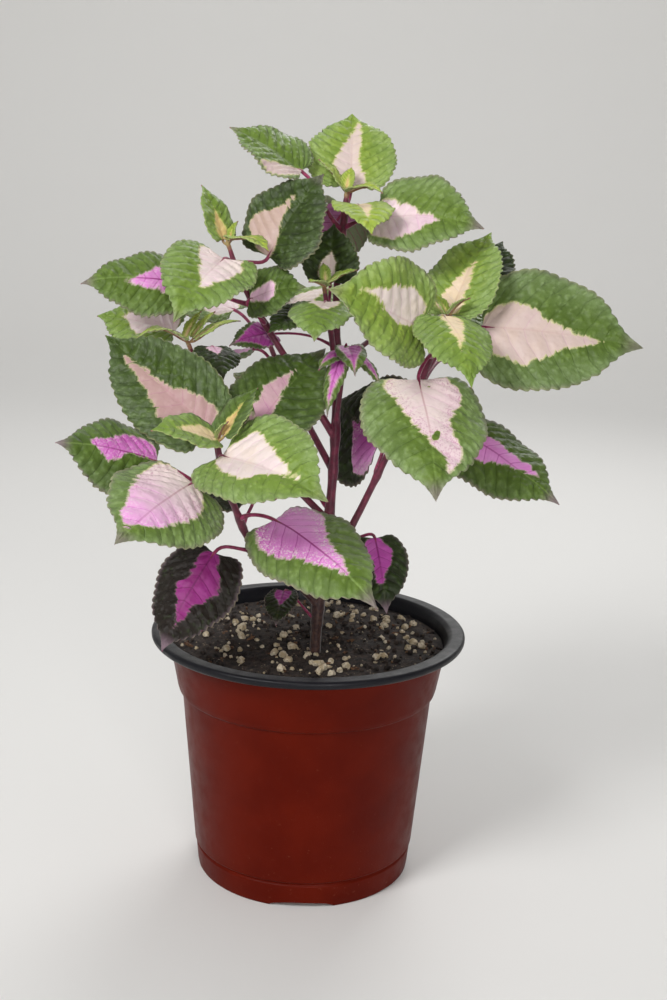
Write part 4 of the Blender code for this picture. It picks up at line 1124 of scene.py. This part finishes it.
def upper_face(name, roughness, painted_sheen):
    """Upper face of a leaf: wrinkled green with a veined patch, painted shade in its hollows and veins, and a
    painted sheen that grows towards the margin.
    """
    g = Surface(name)
    leaf = LeafPattern(g)
    shift = {0: g.noise(3.0, 1, output="Color"), 1: (0.0014, 0.0014, 0.0), 2: leaf.combed}
    warped = g.node("VectorMath", shift, operation="MULTIPLY_ADD")
    puffs = g.band(g.cells(2.3, "SMOOTH_F1", warped), 0.0, 0.62, 1.0, 0.0)
    mottle = (leaf.broad_noise - 0.5) * 0.20
    # Painted shade and highlight: the green is darker in the valleys between the side veins and lighter on
    # the raised pillows.
    painted_pillow_shading = (leaf.valley * 0.30 + 0.42 - puffs) * 0.11
    green = g.ramp(leaf.shade + (mottle + painted_pillow_shading), GREENS)
    # Painted sheen: the green is paled towards a whitish tint on the pillows, in fine specks and towards the
    # margin, less on dark leaves.
    painted_sheen_mask = g.noise(0.6, 3) * 0.6 + puffs * 0.4
    outwards = g.band(leaf.aside, 0.25, 1.0, 0.15, 1.0)
    green = g.blend(painted_sheen_mask * outwards * g.band(leaf.shade, 0.45, 1.0, painted_sheen, 0.03), green, PAINTED_SHEEN_TINT)
    # Painted shade along the sunk side veins.
    green = g.blend(leaf.side_vein * 0.16, green, VEIN_SHADE_TINT, "MULTIPLY")
    vein_tint = g.ramp(leaf.blush, VEIN_TINTS)
    lines = (leaf.side_vein * 0.04 + leaf.fine_veins * 0.02) * g.band(leaf.blush, 0.55, 0.85, 1.0, 7.0)
    patch = g.blend(lines, patch_colour(g, leaf), vein_tint)
    flecks = g.band(g.noise(0.9, 2, 0.7), 0.51, 0.60) * (leaf.freckles * g.band(leaf.inwards, 9.0, 0.5))
    patch = g.blend(flecks, patch, g.blend(g.band(leaf.blush, 0.60, 0.66), DARK_FLECK, PALE_FLECK))
    colour = g.blend(leaf.patch, green, patch)
    edging = leaf.border * g.band(leaf.shade, 0.40, 1.0, 0.75, 0.15)
    colour = g.blend(edging, colour, g.ramp(leaf.blush, BORDERS))
    rib = g.blend(leaf.patch, g.blend(g.band(leaf.shade, 0.55, 1.0), GREEN_RIB, DARK_RIB), vein_tint)
    rib_share = g.band(leaf.blush, 0.5, 0.8, 0.22, 0.80) + leaf.freckles * 0.7
    rib_share = g.math("MULTIPLY", rib_share, g.band(leaf.along, 0.1, 0.7, 1.0, 0.35), clamp=True)
    colour = g.blend(leaf.midrib * rib_share, colour, rib)
    turned = g.math("MAXIMUM", g.band(leaf.along, 0.82, 0.97), g.band(leaf.aside, 0.88, 1.0) * 0.5)
    colour = g.blend(turned * leaf.purple * 0.85, colour, TURNED)
    colour = g.blend(g.band(leaf.aside, 0.955, 1.0) * 0.3, colour, PALE_RIM)
    g.set(Base_Color=colour, Roughness=roughness, Sheen_Weight=0.05, Sheen_Roughness=0.45,
          Specular_IOR_Level=0.28)
    raised = puffs * 1.2 + g.noise(0.5, 2) * 0.16 - leaf.valley * 0.20
    furrows = leaf.side_vein * 0.3 + leaf.fine_veins * 0.05
    g.bump((raised - furrows) * g.blend_value(leaf.patch, 1.0, 0.30), 0.42)
    return g.material


def lower_face(name, base):
    """Lower face of a leaf: pale and matt, with magenta veins and the patch showing through."""
    g = Surface(name)
    leaf = LeafPattern(g)
    plain = g.blend(leaf.purple * 0.35, base, (0.30, 0.12, 0.20))
    # Leaves of high shade, which is partly painted shade, get a darker underside.
    plain = g.blend(g.band(leaf.shade, 0.6, 1.0), plain, (0.10, 0.06, 0.06))
    patch = g.blend(0.30, patch_colour(g, leaf, 0.08), (0.52, 0.44, 0.42))
    net = g.band(g.cells(2.4), 0.10, 0.0)
    colour = g.blend(net * 0.25, g.blend(leaf.patch, plain, patch), (0.36, 0.14, 0.20))
    veins = g.math("MAXIMUM", leaf.side_vein, leaf.midrib)
    colour = g.blend(veins * 0.8, colour, (0.30, 0.03, 0.12))
    g.set(Base_Color=colour, Roughness=0.7, Sheen_Weight=0.1, Sheen_Roughness=0.5, Specular_IOR_Level=0.25)
    g.bump(veins + net * 0.5, 0.25)
    return g.material


def stalk_finish(name, deep, light):
    """Petioles and young stalks: crimson, softly hairy, with lighter streaks."""
    g = Surface(name)
    g.set(Base_Color=g.mottled(2.2, 3, 0.35, 0.7, deep, light), Roughness=0.45, Sheen_Weight=0.5,
          Sheen_Roughness=0.4, Subsurface_Weight=0.1, Subsurface_Scale=0.001)
    g.bump(g.noise(0.35, 2), 0.12)
    return g.material


def stem_finish():
    """Dark purple-red stems, browner and corkier towards the foot."""
    g = Surface("Stem tissue")
    height = g.split(g.place)[2]
    young = g.mottled(3, 3, 0.35, 0.7, (0.10, 0.010, 0.030), (0.20, 0.020, 0.055))
    woody = g.mottled(1.6, 4, 0.35, 0.7, (0.030, 0.010, 0.010), (0.085, 0.040, 0.028))
    colour = g.blend(g.band(height, 0.120, 0.190), woody, young)
    g.set(Base_Color=colour, Roughness=0.5, Sheen_Weight=0.4, Sheen_Roughness=0.4)
    g.bump(g.noise(0.6, 4), 0.25)
    return g.material


def outer_plastic():
    """Red-brown moulded plastic with a satin sheen, faint flow marks and a little dust low down."""
    g = Surface("Red-brown plastic")
    height = g.split(g.place)[2]
    colour = g.mottled(26, 3, 0.3, 0.7, (0.086, 0.0044, 0.0006), (0.108, 0.0064, 0.0010))
    scuffs = g.band(g.noise(2.0, 6, 0.7), 0.60, 0.80) * g.band(height, 0.05, 0.0, 0.15, 0.55)
    colour = g.blend(scuffs, colour, (0.30, 0.12, 0.07))
    g.set(Base_Color=colour, Roughness=g.band(g.noise(7, 4), 0.3, 0.75, 0.34, 0.48), Specular_IOR_Level=0.07)
    g.bump(g.noise(0.5, 2) + g.noise(14, 2) * 2.0, 0.06)
    return g.material


def inner_plastic():
    """Charcoal plastic of the lip and the inside, dusty with dried mix."""
    g = Surface("Charcoal plastic")
    dust = g.band(g.noise(1.4, 5, 0.65), 0.58, 0.76) * 0.35
    colour = g.blend(dust, (0.007, 0.007, 0.010), (0.06, 0.045, 0.036))
    g.set(Base_Color=colour, Roughness=g.band(g.noise(5, 4), 0.3, 0.7, 0.30, 0.45), Specular_IOR_Level=0.22)
    g.bump(g.noise(0.45, 3), 0.08)
    return g.material


def mix_finish():
    """Moist dark potting mix: coarse crumbs with brown fibres and pale specks."""
    g = Surface("Potting mix")
    colour = g.mottled(2.6, 5, 0.35, 0.70, (0.009, 0.006, 0.005), (0.055, 0.036, 0.026), 0.65)
    specks = g.band(g.cells(1.6, "F1"), 0.26, 0.16) * g.band(g.noise(5, 2), 0.50, 0.62)
    g.set(Base_Color=g.blend(specks * 0.8, colour, (0.30, 0.23, 0.15)), Roughness=0.9)
    g.bump(g.noise(0.9, 6, 0.7), 0.9)
    return g.material


def perlite_finish():
    """Cream to beige grains, pitted, stained by the mix."""
    g = Surface("Perlite")
    colour = g.mottled(3.0, 3, 0.35, 0.65, (0.42, 0.33, 0.20), (0.66, 0.58, 0.44))
    stain = g.band(g.noise(1.0, 4, 0.6), 0.50, 0.70) * 0.6
    g.set(Base_Color=g.blend(stain, colour, (0.14, 0.09, 0.05)), Roughness=0.85)
    g.bump(g.noise(0.4, 4), 0.4)
    return g.material


def bark_finish():
    """Fibres and slivers of brown bark."""
    g = Surface("Bark")
    colour = g.mottled(1.2, 4, 0.35, 0.65, (0.045, 0.020, 0.010), (0.17, 0.085, 0.040))
    g.set(Base_Color=colour, Roughness=0.85)
    g.bump(g.noise(0.5, 4), 0.4)
    return g.material


def leaf_finishes():
    """Upper face, lower face and stalk of each kind of leaf."""
    crimson = stalk_finish("Crimson stalk", (0.17, 0.008, 0.045), (0.36, 0.035, 0.120))
    fresh = stalk_finish("Fresh stalk", (0.24, 0.080, 0.060), (0.40, 0.300, 0.100))
    # kind, roughness and painted sheen of the upper face, colour of the lower face, stalk
    kinds = [
        ("Young", 0.50, 0.45, (0.40, 0.51, 0.17), fresh),
        ("Mature", 0.44, 0.56, (0.30, 0.41, 0.17), crimson),
        # Shaded is a darker copy of the leaf: painted shade for leaves under and behind others, with less
        # painted sheen.
        ("Shaded", 0.50, 0.22, (0.19, 0.27, 0.13), crimson),
        ("Magenta", 0.50, 0.35, (0.24, 0.24, 0.17), crimson),
    ]
    finishes = {}
    for kind, roughness, painted_sheen, under, stalk in kinds:
        faces = [upper_face(kind + " leaf", roughness, painted_sheen), lower_face(kind + " leaf underside", under)]
        finishes[kind.lower()] = faces + [stalk]
    return finishes


# Camera: the photograph's own view, a little above the rim and looking down on the pot.
CAMERA_PLACE = (0.0, -0.5932, 0.3131)
CAMERA_TURN = (76.495, -1.722, -0.491)
CAMERA_LENS = 50
CAMERA_SENSOR = 36

# Square lamps: name, place, the point they look at, size, power and the spread of their light in degrees.
LAMPS = [
    ("Key", (-0.62, -0.74, 0.95), (0, 0, 0.2), 0.42, 4.0, 120),
    ("Fill", (0.30, -1.45, 0.50), (0, 0, 0.18), 0.5, 1.25, 70),
    ("Back", (0.35, 1.00, 1.05), (0, 0, 0.2), 0.7, 3.0, 120),
    ("Wall wash", (0.0, 1.1, 1.9), (0, 2.4, 0.9), 1.0, 14, 180),
]
SKY = (0.88, 0.89, 0.90, 1)
SKY_STRENGTH = 0.36

# Floor: a flat disc that bends up into a wall.
FLOOR_RADIUS = 1800
FLOOR_BEND = 700
WALL_TOP = (2500, 2200)
FLOOR_COLOUR = (0.80, 0.79, 0.77)


def make_camera():
    camera = link(bpy.data.objects.new("Camera", bpy.data.cameras.new("Camera")))
    camera.data.lens = CAMERA_LENS
    camera.data.sensor_width = CAMERA_SENSOR
    camera.location = CAMERA_PLACE
    camera.rotation_euler = [math.radians(angle) for angle in CAMERA_TURN]
    bpy.context.scene.camera = camera


def make_studio():
    """Pale round floor that curves up into a wall, and soft lamps with the key at the upper left."""
    bend = [(FLOOR_RADIUS + FLOOR_BEND * math.sin(angle), FLOOR_BEND - FLOOR_BEND * math.cos(angle))
            for angle in (math.radians(10 * step) for step in range(10))]
    floor = link(new_object(spin_section([(0, 0)] + bend + [WALL_TOP], 96), "Floor"))
    floor.data.shade_smooth()
    g = Surface("Pale floor")
    g.set(Base_Color=FLOOR_COLOUR, Roughness=0.85)
    floor.data.materials.append(g.material)
    for name, place, aim, size, power, spread in LAMPS:
        lamp = bpy.data.lights.new(name, "AREA")
        lamp.shape = "SQUARE"
        lamp.size = size
        lamp.energy = power
        lamp.spread = math.radians(spread)
        obj = link(bpy.data.objects.new(name, lamp))
        obj.location = place
        obj.rotation_euler = (Vector(aim) - Vector(place)).to_track_quat("-Z", "Y").to_euler()
    world = bpy.data.worlds.new("Studio")
    bpy.context.scene.world = world
    world.use_nodes = True
    background = world.node_tree.nodes["Background"]
    background.inputs["Color"].default_value = SKY
    background.inputs["Strength"].default_value = SKY_STRENGTH
    bpy.context.scene.view_settings.view_transform = "Standard"


def main():
    make_camera()
    finishes = leaf_finishes()
    names = [(group + "_" + str(index), leaf) for group, leaves in LEAVES.items()
             for index, leaf in enumerate(leaves, 1)]
    for number, (name, leaf) in enumerate(names, 1):
        make_leaf(name, leaf, number, finishes)
    for number, name in enumerate(TIPS, 1):
        make_shoot_tip(name, 100 + 10 * number, finishes)
    make_stems(stem_finish())
    make_pot(outer_plastic(), inner_plastic())
    make_soil(mix_finish(), perlite_finish(), bark_finish())
    make_studio()
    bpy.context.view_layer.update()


main()
